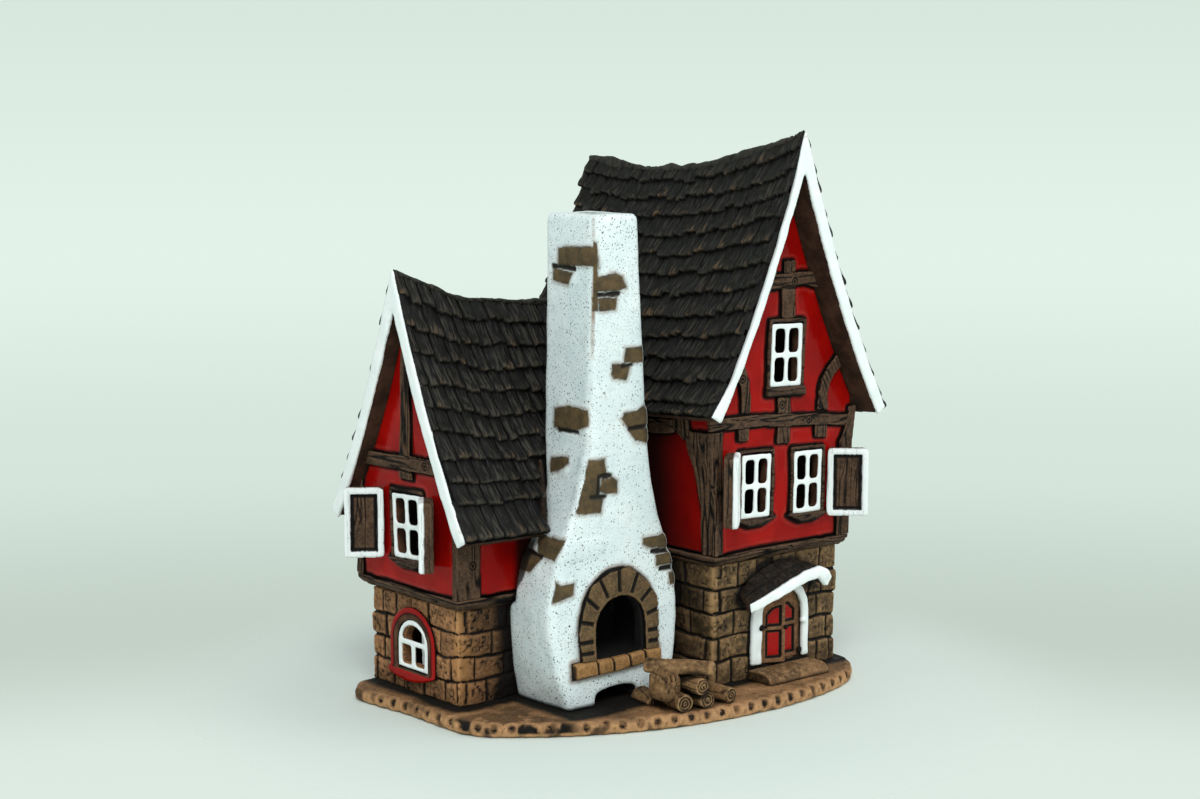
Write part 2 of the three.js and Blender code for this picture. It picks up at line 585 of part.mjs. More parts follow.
const rearArch = (centre, storeyTop) => {
  const width = TEALIGHT + 2 * TEALIGHT_ROOM;
  const head = storeyTop - ARCH_HEAD;
  return archShape(centre, width, ground - 1, head - width / 4, width / 4);
};

const cottageRoom = (grow = 0) => box(
  WALL + grow, COTTAGE_LENGTH + 5, WALL + grow, COTTAGE_WIDTH - WALL - grow, ground - 1, cottageSillZ + 1);
const archWindow = { centre: COTTAGE_WIDTH / 2 + 0.3, width: 18.4, sill: ground + 8.5, spring: ground + 18.4, rise: 8.6 };
const archHole = archShape(archWindow.centre, archWindow.width - 2 * PANE_BAR, archWindow.sill + 1.2,
  archWindow.spring, archWindow.rise - PANE_BAR);
const cottageRearX = COTTAGE_LENGTH / 2;
piece('cottage_stone_walls', cut(
  box(0, COTTAGE_LENGTH - FIT, 0, COTTAGE_WIDTH, ground, cottageSillZ),
  cottageRoom(),
  facingSide(archHole, -5, WALL + 5),
  facingFront(rearArch(cottageRearX, cottageSillZ), COTTAGE_WIDTH - WALL - 5, COTTAGE_WIDTH + 5),
  mortar(facingSide, 0, 0, COTTAGE_WIDTH, ground, cottageSillZ, 4, 5),
  mortar(facingFront, 0, 0, 25, ground, cottageSillZ, 4, 2),
), stone());

const DOOR_X = towerX + DOOR_ASIDE;
const doorHole = archShape(DOOR_X, DOOR_WIDTH, ground + DOOR_JAMB, DOOR_SPRING);
piece('tower_stone_walls', cut(
  towerStone(0),
  box(COTTAGE_LENGTH + WALL, towerRight - WALL, WALL - TOWER_FRONT, towerBack - WALL, ground - 1, towerSillZ + 1),
  facingFront(doorHole, -TOWER_FRONT - 5, DOOR_RECESS - TOWER_FRONT),
  facingFront(rearArch(towerX, towerSillZ), towerBack - WALL - 5, towerBack + 5),
  mortar(facingFront, -TOWER_FRONT, COTTAGE_LENGTH, towerRight, ground, towerSillZ, 5, 6),
  mortar(facingSide, COTTAGE_LENGTH, -TOWER_FRONT, 0, ground, towerSillZ, 5, 3),
), stone());

// Rings of beams between the storeys, swelling from the stone out to the jetty

function sillRing(x0, x1, y0, y1, z0, outX0, outX1, outY0, outY1) {
  const levels = [[0, 0.2], [0.3, 0.62], [0.75, 0.98], [1, 1]];
  const sections = levels.map(([t, out]) => [
    [x0 - out * outX0, y0 - out * outY0], [x1 + out * outX1, y0 - out * outY0],
    [x1 + out * outX1, y1 + out * outY1], [x0 - out * outX0, y1 + out * outY1],
  ].map(([x, y]) => new THREE.Vector3(x, y, z0 + t * SILL_BEAM)));
  const body = loft(sections, sections[0].map((p) => new THREE.Vector2(p.x, p.y)));
  return cut(body, box(x0 + WALL, x1 - WALL, y0 + WALL, y1 - WALL, z0 - 1, z0 + SILL_BEAM + 1));
}
const proud = JETTY + STRIP;
piece('cottage_sill_beams', cut(
  sillRing(0, COTTAGE_LENGTH + 5, 0, COTTAGE_WIDTH, cottageSillZ, proud, 0, proud, proud),
  towerMass, chimneyMass,
), timber());
piece('tower_sill_beams', cut(
  sillRing(COTTAGE_LENGTH, towerRight, -TOWER_FRONT, towerBack, towerSillZ, JETTY / 2 + STRIP,
    JETTY / 2 + STRIP, proud, STRIP),
  box(COTTAGE_LENGTH - 10, COTTAGE_LENGTH, -proud - FIT, towerBack + 10, towerSillZ - 1, towerUpperZ + 1),
), timber());

// Windows. A frame covers a hole in the wall, four panes cut through it, a brown casing round it.

const faces = {
  side: { solid: facingSide, plane: -JETTY, mass: cottageUpper, roof: overCottage },
  front: { solid: facingFront, plane: -TOWER_FRONT - JETTY, mass: towerUpper, roof: overTower },
};

function turned(shape, [cx, cz], degrees) {
  const spin = (p) => p.clone().rotateAround(new THREE.Vector2(cx, cz), rad(degrees));
  const made = new THREE.Shape(shape.getPoints(3).map(spin));
  made.holes = shape.holes.map((hole) => new THREE.Path(hole.getPoints(3).map(spin)));
  return made;
}

function windowParts({ on, centre, sill, head, width, tilt = 0, sillDrop = 3.5, sillReach = 3.5, board = false }) {
  const face = faces[on];
  const [x0, x1, z1, height] = [centre - width / 2, centre + width / 2, head, head - sill];
  const pivot = [centre, sill + height / 2];
  const frame = roundedRect(x0, x1, sill, z1, 0.8);
  const paneWidth = (width - 3 * PANE_BAR) / 2;
  const paneHeight = (height - 3 * PANE_BAR) / 2;
  for (const i of [0, 1]) {
    for (const k of [0, 1]) {
      const px = x0 + PANE_BAR + i * (paneWidth + PANE_BAR);
      const pz = sill + PANE_BAR + k * (paneHeight + PANE_BAR);
      frame.holes.push(roundedRect(px, px + paneWidth, pz, pz + paneHeight, 1.3));
    }
  }
  const casing = roundedRect(x0 - CASING, x1 + CASING, sill - 0.3, z1 + CASING, 0.8);
  casing.holes.push(roundedRect(x0 - SEAT, x1 + SEAT, sill - SEAT, z1 + SEAT, 0.8));
  const ledge = new THREE.Shape();
  ledge.moveTo(x0 - sillReach, sill - 0.2);
  ledge.lineTo(x1 + sillReach, sill - 0.2);
  if (board) {
    ledge.lineTo(x1 + sillReach, sill - sillDrop);
    ledge.lineTo(x0 - sillReach, sill - sillDrop);
  } else ledge.quadraticCurveTo(centre, sill - 2 * sillDrop - 1, x0 - sillReach, sill - 0.2);
  const prism = (shape, out, into = 1) => face.solid(turned(shape, pivot, tilt), face.plane - out, face.plane + into);
  const wallHole = roundedRect(x0 + 1.2, x1 - 1.2, sill + 1.2, z1 - 1.2, 0.8);
  return {
    x0, x1, sill, head, height,
    frame: cut(prism(frame, FRAME_THICK), face.mass(SEAT)),
    casing: cut(join(prism(casing, STRIP), prism(ledge, STRIP + 1)), face.mass(SEAT)),
    hole: prism(wallHole, 5, WALL + 5),
    keepOut: join(
      prism(roundedRect(x0 - CASING - FIT, x1 + CASING + FIT, sill - 0.5, z1 + CASING + FIT, 0.8), STRIP + FIT),
      prism(roundedRect(x0 - sillReach - FIT, x1 + sillReach + FIT, sill - sillDrop - (board ? FIT : 2), sill + FIT, 0.8), STRIP + 1 + FIT),
    ),
  };
}

const windows = {
  cottage_window: windowParts({
    on: 'side', centre: cottage.centre, sill: cottageUpperZ + 10.7, head: COTTAGE_EAVE + 12, width: 17.6, tilt: -3,
  }),
  tower_left_window: windowParts({
    on: 'front', centre: COTTAGE_LENGTH + 17.8, sill: towerUpperZ + 12.1, head: TOWER_EAVE - 14.5, width: 15.2, tilt: -2,
  }),
  tower_right_window: windowParts({
    on: 'front', centre: towerRight - 19.7, sill: towerUpperZ + 10.9, head: TOWER_EAVE - 15.7, width: 15.2, tilt: -1.5,
  }),
  tower_attic_window: windowParts({
    on: 'front', centre: towerX + 0.7, sill: TOWER_EAVE + 9.2, head: TOWER_EAVE + 32.8, width: 16.2, tilt: -2,
    sillDrop: 3.8, sillReach: 1.8, board: true,
  }),
};
for (const [name, parts] of Object.entries(windows)) {
  piece(`${name}_frame`, parts.frame, white());
  piece(`${name}_casing`, parts.casing, timber());
}

// Plastered upper storeys with their gables

piece('cottage_plaster_walls', cut(
  cottageUpper(0), facingSide(shapeOf([[WALL - JETTY, 0], [COTTAGE_WIDTH + JETTY - WALL, 0],
    [COTTAGE_WIDTH + JETTY - WALL, skyZ], [WALL - JETTY, skyZ]]), WALL - JETTY, COTTAGE_LENGTH + 10),
  overCottage, towerMass, chimneyMass, windows.cottage_window.hole,
), red());
const gableWindows = ['tower_left_window', 'tower_right_window', 'tower_attic_window'].map((name) => windows[name].hole);
const towerHollow = common(towerUpper(-WALL),
  box(0, 2 * towerRight, -2 * TOWER_LENGTH, towerBack - WALL, 0, 2 * skyZ));
piece('tower_plaster_walls', cut(
  towerUpper(0), towerHollow.translate([0, 0, -SILL_BEAM]),
  towerHollow,
  overTower, ...gableWindows,
), red());

// Timbers, laid on the plaster and trimmed to the roof's underside

function timbers(name, on, shapes, { wrap = 0.5, keep = [] } = {}) {
  const face = faces[on];
  const prisms = shapes.map((shape) => face.solid(shape, face.plane - 10, face.plane + wrap));
  piece(name, cut(common(join(...prisms), face.mass(STRIP)), face.mass(SEAT), face.roof, ...keep), timber());
}

const collar = COTTAGE_EAVE + 23;
const [cottageMid, cottageEdge] = [cottage.centre, COTTAGE_WIDTH + JETTY];
timbers('cottage_collar_beam', 'side', [
  stripShape([[-5, collar], [15, collar + 0.6], [cottageMid + 4, collar - 0.4], [cottageEdge + 3, collar - 1]], 5.4, 0.06),
  shapeOf([[-2.2, 0], [4, 0], [3.4, 15], [2, 50], [-1.8, 50], [-2.1, 15]]
    .map(([x, z]) => [cottageMid + x, collar + z])),
  shapeOf([[-3.4, -5.8], [4.2, -6], [4, 0], [-3.2, 0]].map(([x, z]) => [cottageMid + x, collar + z])),
]);
const cottagePost = (y0, y1, name, x1) => {
  const post = facingSide(shapeOf([[y0, cottageUpperZ], [y1, cottageUpperZ], [y1, collar + 10], [y0, collar + 10]]), -20, x1);
  piece(name, cut(common(post, cottageUpper(STRIP)), cottageUpper(SEAT), overCottage), timber());
};
cottagePost(-JETTY - 5, -JETTY + 1.6, 'cottage_near_post', 6);
cottagePost(cottageEdge - 2.4, cottageEdge + 5, 'cottage_far_post', 4);

const [gableLeft, gableRight] = [COTTAGE_LENGTH, towerRight];
const rightPost = new THREE.Shape();
rightPost.moveTo(gableRight - 3.6, towerUpperZ);
rightPost.lineTo(gableRight + 18, towerUpperZ);
rightPost.lineTo(gableRight + 18, TOWER_EAVE - 1);
rightPost.lineTo(gableRight + 2, TOWER_EAVE - 1);
rightPost.quadraticCurveTo(gableRight + 1.8, TOWER_EAVE - 9, gableRight - 2.2, TOWER_EAVE - 14);
rightPost.quadraticCurveTo(gableRight - 3.6, TOWER_EAVE - 17, gableRight - 3.6, towerUpperZ);
const rightPostPrism = facingFront(rightPost, -TOWER_FRONT - 20, 5 - TOWER_FRONT, 4);
piece('tower_right_post', cut(common(rightPostPrism, towerUpper(STRIP)), towerUpper(SEAT), overTower), timber());
const tieLine = [[gableLeft - 9, -2], [gableLeft + 13, -2.4], [towerX + 5.7, -3.8], [gableRight + 10, -6.4]]
  .map(([x, z]) => [x, TOWER_EAVE + z]);
const stub = (x0, x1, low, high) => shapeOf([[x0, low], [x1, low - 0.2], [x1 + 0.2, high], [x0 - 0.2, high]]
  .map(([x, z]) => [x, TOWER_EAVE + z]));
timbers('tower_tie_beam', 'front', [
  stripShape(tieLine, 4.5, 0.05),
  stub(gableLeft + 8.4, gableLeft + 13.8, -9.2, -3),
  stub(towerX - 3.5, towerX + 2.9, -12, 5.5),
  stub(gableRight - 15.8, gableRight - 9.7, -11.6, -5),
], { keep: [windows.tower_attic_window.keepOut, rightPostPrism.translate([-FIT, 0, 0])] });
timbers('tower_left_brace', 'front', [stripShape([[12, 0.8], [12.3, 7], [11.4, 13], [6, 21]]
  .map(([x, z]) => [gableLeft + x, TOWER_EAVE + z]), 4.8)]);
timbers('tower_right_brace', 'front', [stripShape([[-12.4, -1.2], [-12, 5], [-9, 12], [0.4, 20]]
  .map(([x, z]) => [gableRight + x, TOWER_EAVE + z]), 4.9)]);
const atticHead = windows.tower_attic_window.head;
timbers('tower_collar_beam', 'front', [
  stripShape([[-21.3, 14.8], [0.7, 15.4], [10.7, 15.8], [25.7, 13.2]]
    .map(([x, z]) => [towerX + x, atticHead + z]), 5.6, 0.05),
  ...[[-1, 4.5, 12.2, 22.8], [-2.3, 4.5, 1, 14.2]].map(([x0, x1, low, high]) => shapeOf(
    [[x0, low], [x1, low - 0.2], [x1, high], [x0, high]].map(([x, z]) => [towerX + x, atticHead + z]))),
], { keep: [windows.tower_attic_window.keepOut] });

const tieGap = facingFront(stripShape(tieLine, 4.5 + 2 * FIT, 0.05), -TOWER_FRONT - 20, 8 - TOWER_FRONT);
const flankX = [gableLeft - 17, gableLeft + 1];
const postTop = TOWER_EAVE - 0.4;
const leftPost = new THREE.Shape();
leftPost.moveTo(-TOWER_FRONT - 8, towerUpperZ);
leftPost.lineTo(3.6 - TOWER_FRONT, towerUpperZ);
leftPost.quadraticCurveTo(3.4 - TOWER_FRONT, TOWER_EAVE - 8, 16 - TOWER_FRONT, TOWER_EAVE - 4.6);
leftPost.lineTo(16 - TOWER_FRONT, postTop);
leftPost.lineTo(-TOWER_FRONT - 8, postTop);
piece('tower_left_post', cut(
  common(facingSide(leftPost, ...flankX, 4), towerUpper(STRIP)), towerUpper(SEAT), overTower, tieGap,
), timber());
const flankPlate = stripShape([[16.3 - TOWER_FRONT, -3.8], [28 - TOWER_FRONT, -5], [0, -5.4], [8, -5.6]]
  .map(([y, z]) => [y, TOWER_EAVE + z]), 5);
piece('tower_flank_plate', cut(
  common(facingSide(flankPlate, ...flankX), towerUpper(STRIP)),
  towerUpper(SEAT), overTower, box(...flankX, -JETTY - 0.5, COTTAGE_WIDTH, TOWER_EAVE - 40, TOWER_EAVE + 40),
), timber());

// Roofs, cut round the chimney and where the cottage runs into the tower

for (const [name, side] of [['near', -1], ['far', 1]]) {
  piece(`cottage_roof_${name}`, cut(slope(cottage, side), towerMass, chimneyMass), tiles());
}
for (const [name, side] of [['left', -1], ['right', 1]]) piece(`tower_roof_${name}`, slope(tower, side), tiles());
for (const [name, w] of [['cottage', cottage], ['tower', tower]]) {
  piece(`${name}_verge_trim`, chevron(w, w.front, w.front + TRIM - SEAT, TRIM_LIP, ROOF_SLAB + TRIM_LIP), white());
}

// Arched window in the cottage's stone gable

const band = archShape(archWindow.centre, archWindow.width + 2 * (CASING + 3.3), archWindow.sill - 1.3,
  archWindow.spring, archWindow.rise + CASING + 3.3);
band.holes.push(archShape(archWindow.centre, archWindow.width + 2 * SEAT, archWindow.sill - SEAT,
  archWindow.spring, archWindow.rise + SEAT));
const redSill = new THREE.Shape();
redSill.moveTo(archWindow.centre - 14.2, archWindow.sill - 0.9);
redSill.quadraticCurveTo(archWindow.centre, archWindow.sill - 7.3, archWindow.centre + 14.4, archWindow.sill - 2.7);
redSill.lineTo(archWindow.centre + 14.4, archWindow.sill - 0.5);
redSill.lineTo(archWindow.centre - 14.2, archWindow.sill - 0.5);
piece('cottage_arch_surround', cut(
  join(facingSide(band, -STRIP, 1), facingSide(redSill, -STRIP - 1, 1)), cottageStone(SEAT)), red());
const archFrame = archShape(archWindow.centre, archWindow.width, archWindow.sill, archWindow.spring, archWindow.rise);
const archPane = (archWindow.width - 3 * PANE_BAR) / 2;
for (const side of [-1, 1]) {
  const x = archWindow.centre + side * (PANE_BAR / 2 + archPane / 2);
  archFrame.holes.push(roundedRect(x - archPane / 2, x + archPane / 2, archWindow.sill + 1.6, archWindow.spring - 1.2, 1));
}
archFrame.holes.push(archShape(archWindow.centre, archWindow.width - 2 * PANE_BAR, archWindow.spring + 0.8,
  archWindow.spring + 1, archWindow.rise - PANE_BAR - 1));
piece('cottage_arch_frame', cut(facingSide(archFrame, -FRAME_THICK, 1), cottageStone(SEAT)), white());

// Door: white surround, two leaves, the left one ajar, a tiled hood and a half-log step

const surround = archShape(DOOR_X - 1.1, DOOR_WIDTH + 2 * DOOR_JAMB, ground + DOOR_JAMB + 0.5, DOOR_SPRING);
piece('door_surround', cut(
  facingFront(surround, -TOWER_FRONT - 1.8, -TOWER_FRONT + 1),
  facingFront(archShape(DOOR_X, DOOR_WIDTH, ground, DOOR_SPRING), -TOWER_FRONT - 5, -TOWER_FRONT + 5),
  towerStone(SEAT),
), white());

const LEAF_THICK = 1.7;
function leaf(side) {
  const half = DOOR_WIDTH / 2 - FIT;
  const shape = new THREE.Shape();
  const bottom = ground + DOOR_JAMB + FIT;
  shape.moveTo(side * 0.15, bottom);
  shape.lineTo(side * half, bottom);
  shape.lineTo(side * half, DOOR_SPRING);
  shape.absellipse(0, DOOR_SPRING, half, half, side > 0 ? 0 : Math.PI, Math.PI / 2 - side * 0.015, side < 0);
  const solid = facingFront(shape, -LEAF_THICK, 0);
  const inner = side > 0 ? [2.2, 7.6] : [-7.6, -2.2];
  const panels = [
    facingFront(roundedRect(...inner, bottom + 2.4, bottom + 12, 0.6), -LEAF_THICK - 1, 0.5 - LEAF_THICK),
    facingFront(roundedRect(...inner, bottom + 14.6, DOOR_SPRING + 3.4, 0.9), -LEAF_THICK - 1, 0.5 - LEAF_THICK),
  ];
  return cut(solid, ...panels);
}
piece('door_leaf_right', leaf(1).translate([DOOR_X, DOOR_RECESS - TOWER_FRONT - SEAT, 0]), timber());
const hinge = DOOR_WIDTH / 2 - FIT;
piece('door_leaf_left', leaf(-1).translate([hinge, LEAF_THICK, 0]).rotate([0, 0, -DOOR_AJAR])
  .translate([DOOR_X - hinge, -TOWER_FRONT - SEAT, 0]), timber());

// The hood is a curved slab, low on its left: arched where it meets the wall, nearly straight along its white edge.
const HOOD_DEPTH = 9;
const HOOD_THICK = 3.4;
const hoodFront = -TOWER_FRONT - SEAT - HOOD_DEPTH;
const hoodBack = -TOWER_FRONT - SEAT;
const hoodFrontLine = [[-24.5, 34.2], [-17, 35.2], [-9.2, 37.6], [-0.2, 40.2], [8.8, 42.4], [13.6, 42.5], [17.4, 38.6]];
const hoodBackLine = [[-20, 36.5], [-16.8, 40], [-12.1, 43], [-6.5, 45], [-0.9, 45.8], [6, 45.4], [13.1, 42]];
function hood(y0, y1, lip) {
  const section = (y) => {
    const back = (y - hoodFront) / HOOD_DEPTH;
    const line = new THREE.SplineCurve(hoodFrontLine.map(([x, z], i) => new THREE.Vector2(
      DOOR_X + x + (hoodBackLine[i][0] - x) * back, z + (hoodBackLine[i][1] - z) * back)));
    const count = 12;
    const sides = [[], []];
    for (let i = 0; i <= count; i++) {
      const at = line.getPointAt(i / count);
      const along = line.getTangentAt(i / count);
      const half = HOOD_THICK / 2 + lip;
      sides[0].push(new THREE.Vector3(at.x - along.y * half, y, at.y + along.x * half));
      sides[1].unshift(new THREE.Vector3(at.x + along.y * half, y, at.y - along.x * half));
    }
    return [...sides[0], ...sides[1]];
  };
  const sections = [section(y0), section((y0 + y1) / 2), section(y1)];
  return loft(sections, sections[0].map((p) => new THREE.Vector2(p.x, p.z)));
}
piece('door_hood', hood(hoodFront + TRIM, hoodBack, 0), tiles());
piece('door_hood_edge', hood(hoodFront, hoodFront + TRIM - SEAT, 0.3), white());

const step = new THREE.Shape();
step.moveTo(-TOWER_FRONT - 14.5, ground);
step.quadraticCurveTo(-TOWER_FRONT - 14, ground + 4.2, -TOWER_FRONT - 8, ground + 4);
step.lineTo(-TOWER_FRONT - 1.8 - FIT, ground + 3.6);
step.lineTo(-TOWER_FRONT - 1.8 - FIT, ground);
piece('doorstep', facingSide(step, DOOR_X - 18.8, DOOR_X + 12.5, 5), timber());

// Shutters, thick clay tablets with a raised rim, standing half open on each side

function shutter(name, { on, hingeAt, sill, width, height, open, side }) {
  const face = faces[on];
  const rim = roundedRect(0, width, 0, height, 1);
  rim.holes.push(roundedRect(SHUTTER_RIM, width - SHUTTER_RIM, SHUTTER_RIM, height - SHUTTER_RIM, 0.5));
  const rimThick = 0.9;
  const slab = facingFront(roundedRect(0, width, 0, height, 1), 0, SHUTTER_THICK - rimThick);
  const planks = [1, 2, 3].map((i) => {
    const x = SHUTTER_RIM + ((width - 2 * SHUTTER_RIM) * i) / 4;
    return box(x - 0.25, x + 0.25, -1, 0.4, SHUTTER_RIM + 1, height - SHUTTER_RIM - 1);
  });
  let body = join(cut(slab, ...planks), facingFront(rim, -rimThick, 0)).translate([0, rimThick, 0]);
  // Closed flat on the wall it would point away from its window; it is swung out from there.
  const swing = 180 - open;
  if (side < 0) body = body.mirror([1, 0, 0]);
  body = body.rotate([0, 0, side < 0 ? swing : -swing]);
  if (on === 'side') body = body.rotate([0, 0, -90]);
  const [x, y] = on === 'side' ? [face.plane, hingeAt] : [hingeAt, face.plane];
  const out = STRIP + FIT + 1.2;
  body = body.translate(on === 'side' ? [x - out, y, sill] : [x, y - out, sill]);
  piece(name, cut(body, face.mass(SEAT), ...Object.values(windows).map((w) => w.keepOut)), timber());
}
const { cottage_window: low, tower_left_window: left, tower_right_window: right } = windows;
shutter('tower_left_shutter', {
  on: 'front', hingeAt: left.x0 - 2.9, sill: left.sill + 0.2, width: 14, height: left.height + 1.8, open: 137, side: -1,
});
shutter('tower_right_shutter', {
  on: 'front', hingeAt: right.x1 + 1.4, sill: right.sill - 1.8, width: 14.8, height: right.height + 1.3, open: 136, side: 1,
});
shutter('cottage_near_shutter', {
  on: 'side', hingeAt: low.x0 - 2, sill: low.sill - 0.2, width: 14, height: low.height + 0.8, open: 144, side: 1,
});
shutter('cottage_far_shutter', {
  on: 'side', hingeAt: low.x1 + 3.2, sill: low.sill - 0.8, width: 13.8, height: low.height + 1.4, open: 126, side: -1,
});

// Firewood beside the hearth: round and split logs

// Each log runs between two points, x from the hearth's middle, y from the stack's front, z from the base.
function log(name, { from, to, radius, split = 0, roll = 0 }) {
  const [a, b] = [from, to].map(([x, y, z]) => new THREE.Vector3(HEARTH_X + x, y - CHIMNEY_DEPTH, ground + z));
  const start = split ? Math.PI * split : 2 * Math.PI;
  const shape = new THREE.Shape();
  shape.absarc(0, 0, radius, 0, start, false);
  const geometry = extrude(shape, a.distanceTo(b), split ? 5 : 6);
  geometry.rotateZ(rad(roll));
  const aim = new THREE.Matrix4().lookAt(b, a, new THREE.Vector3(0, 0, 1)).setPosition(a);
  geometry.applyMatrix4(aim);
  return piece(name, solidOf(geometry), timber());
}
log('log_front', { from: [7.7, -27, 3.4], to: [9.9, -14, 3.4], radius: 3.3 });
log('log_middle', { from: [16.9, -28.6, 3.3], to: [18.1, -12, 3.3], radius: 3.2 });
log('log_right', { from: [28.5, -28.6, 3.1], to: [27.1, -12, 3.1], radius: 3 });
log('log_upper', { from: [13.5, -30, 8.9], to: [14.1, -12.6, 8.9], radius: 3.1 });
log('log_split_left', { from: [6.9, -12.6, 0.2], to: [9.1, -1.2, 0.2], radius: 4.2, split: 1 });
log('log_split_upper', { from: [4.5, -23, 8.6], to: [5.5, -13.6, 8.6], radius: 3.7, split: 1.3, roll: -27 });
log('log_split_top', { from: [6.1, -8.4, 12.8], to: [19.5, -28.2, 12.8], radius: 3.7, split: 1 });

// The part's frame has its origin under the middle of the house
const bounds = new THREE.Box3().setFromObject(house);
const middle = bounds.getCenter(new THREE.Vector3());
house.position.set(-middle.x, -middle.y, -bounds.min.z);
const part = new THREE.Group();
part.add(house);
export default part;
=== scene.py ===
import math
from functools import reduce

import bpy
import numpy as np
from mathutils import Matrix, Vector
from mathutils.bvhtree import BVHTree
from mathutils.kdtree import KDTree


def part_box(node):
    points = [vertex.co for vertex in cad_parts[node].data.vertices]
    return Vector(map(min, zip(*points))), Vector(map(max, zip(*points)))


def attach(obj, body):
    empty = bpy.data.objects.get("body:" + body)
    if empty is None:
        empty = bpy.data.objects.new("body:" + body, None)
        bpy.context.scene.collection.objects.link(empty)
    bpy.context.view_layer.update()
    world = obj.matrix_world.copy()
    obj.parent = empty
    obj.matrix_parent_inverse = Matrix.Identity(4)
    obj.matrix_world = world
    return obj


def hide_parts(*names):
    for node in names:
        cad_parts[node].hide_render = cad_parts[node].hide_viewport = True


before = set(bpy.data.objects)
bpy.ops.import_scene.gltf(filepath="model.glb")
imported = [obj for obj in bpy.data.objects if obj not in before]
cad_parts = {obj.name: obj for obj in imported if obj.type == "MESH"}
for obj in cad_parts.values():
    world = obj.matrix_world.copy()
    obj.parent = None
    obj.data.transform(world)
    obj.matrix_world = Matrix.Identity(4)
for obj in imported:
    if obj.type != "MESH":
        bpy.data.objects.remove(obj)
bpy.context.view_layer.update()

MM = 0.001
HOME = np.array(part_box("cottage_stone_walls")[0])
HOME[2] = 0.0
rng = np.random.default_rng(11)
scene = bpy.context.scene


def node_box(node):
    """Lowest and highest corners of a CAD node, in house millimetres."""
    return [(np.array(corner) - HOME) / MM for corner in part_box(node)]


def at(*point):
    """A house point in metres of the part's frame."""
    return Vector(np.array(point, float) * MM + HOME)


# Main sizes, most of them read from the frame
GROUND = node_box("base_plate")[1][2]
COTTAGE_LENGTH, COTTAGE_WIDTH, COTTAGE_SILL = node_box("cottage_stone_walls")[1] + (0.3, 0, 0)
(TOWER_LEFT, TOWER_FRONT, _), (TOWER_RIGHT, TOWER_BACK, TOWER_SILL) = node_box("tower_stone_walls")
TOWER_X = (TOWER_LEFT + TOWER_RIGHT) / 2
CORNER_X = 87
JETTY = 3.0
HEARTH_X = 48.5
HEARTH_FLOOR = 21.5
HEARTH_SPRING = 32.5
CHIMNEY_TOP = node_box("chimney_stack")[1][2]
FAR = 9.0


# Fields: one value for each point

def far(p):
    """Farther than anything that is looked for."""
    return np.full(len(p), FAR)


def most(*fields):
    return reduce(np.maximum, fields)


def least(*fields):
    return reduce(np.minimum, fields)


def step(low, high, values):
    """0 below low, 1 above high, smooth between; low may be the larger of the two."""
    t = np.clip((np.asarray(values, float) - low) / (high - low), 0, 1)
    return t * t * (3 - 2 * t)


def lattice(ix, iy, iz, seed):
    """A repeatable value from -1 to 1 for each lattice point, by hashing."""
    n = ix * 374761393 + iy * 668265263 + iz * 1440662683 + seed * 1274126177
    n = (n ^ (n >> 13)) * 1274126177
    n = n ^ (n >> 16)
    return (n & 0xFFFFFF) / 0x7FFFFF - 1.0


def noise(points, size, seed=0):
    """Smooth noise from -1 to 1 with features of about that size."""
    q = np.asarray(points, float) / size
    cell = np.floor(q).astype(np.int64)
    f = q - cell
    f = f * f * (3 - 2 * f)
    total = np.zeros(len(q))
    for corner in np.ndindex(2, 2, 2):
        weight = np.where(corner, f, 1 - f)
        total += weight[:, 0] * weight[:, 1] * weight[:, 2] * lattice(*(cell + corner).T, seed)
    return total


def fractal(points, size, seed=0):
    """Noise of three sizes, each half the one before."""
    return sum(noise(points, size / 2 ** k, seed + 17 * k) / 2 ** k for k in range(3)) / 1.75


def threads(q, size, seed, width=0.15):
    """Thin lines, 1 on the line, where the noise crosses zero."""
    return np.maximum(0, 1 - np.abs(noise(q, size, seed)) / width)


def near_line(a, b, ends):
    """Distance from the straight line between two points of a face."""
    (a0, b0), (a1, b1) = ends
    t = np.clip(((a - a0) * (a1 - a0) + (b - b0) * (b1 - b0)) / ((a1 - a0) ** 2 + (b1 - b0) ** 2), 0, 1)
    return np.hypot(a - a0 - t * (a1 - a0), b - b0 - t * (b1 - b0))


def inside(a, b, corners):
    """Distance in from the outline of a polygon on a face, less than 0 outside it."""
    away, within = np.full(len(a), 1e9), np.zeros(len(a), bool)
    for (a0, b0), (a1, b1) in zip(corners, corners[1:] + corners[:1]):
        away = least(away, near_line(a, b, ((a0, b0), (a1, b1))))
        level = (b - b0) / ((b1 - b0) or 1e-9)
        within ^= ((b0 > b) != (b1 > b)) & (a < a0 + level * (a1 - a0))
    return np.where(within, away, -away)


def near_segment(p, start, end):
    """Distance from the straight line between two points of the house."""
    start, way = np.array(start, float), np.subtract(end, start)
    t = np.clip((p - start) @ way / (way @ way), 0, 1)
    return np.linalg.norm(p - start - t[:, None] * way, axis=1)


def off_box(p, x0, x1, y0, y1=np.inf):
    """Distance on the table from a box with those limits."""
    x, y = p[:, 0], p[:, 1]
    return np.hypot(most(x0 - x, x - x1, 0), most(y0 - y, y - y1, 0))


# Pieces

def add_object(name, data):
    thing = bpy.data.objects.new(name, data)
    scene.collection.objects.link(thing)
    return thing


def place(mesh, name, material, slot, paints):
    """Puts a mesh into the scene as a smooth, painted piece of the house."""
    for paint, values in paints.items():
        mesh.attributes.new(paint, "FLOAT", "POINT").data.foreach_set("value", np.asarray(values, np.float32))
    mesh.polygons.foreach_set("use_smooth", np.ones(len(mesh.polygons), bool))
    mesh.materials.clear()
    mesh.materials.append(material)
    mesh.update()
    piece = add_object(name, mesh)
    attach(piece, "root")
    return piece


def new_piece(name, points, faces, material, slot, paints):
    """A piece from house points and faces."""
    mesh = bpy.data.meshes.new(name)
    mesh.from_pydata([tuple(p) for p in np.asarray(points) * MM + HOME], [], faces)
    return place(mesh, name, material, slot, paints)


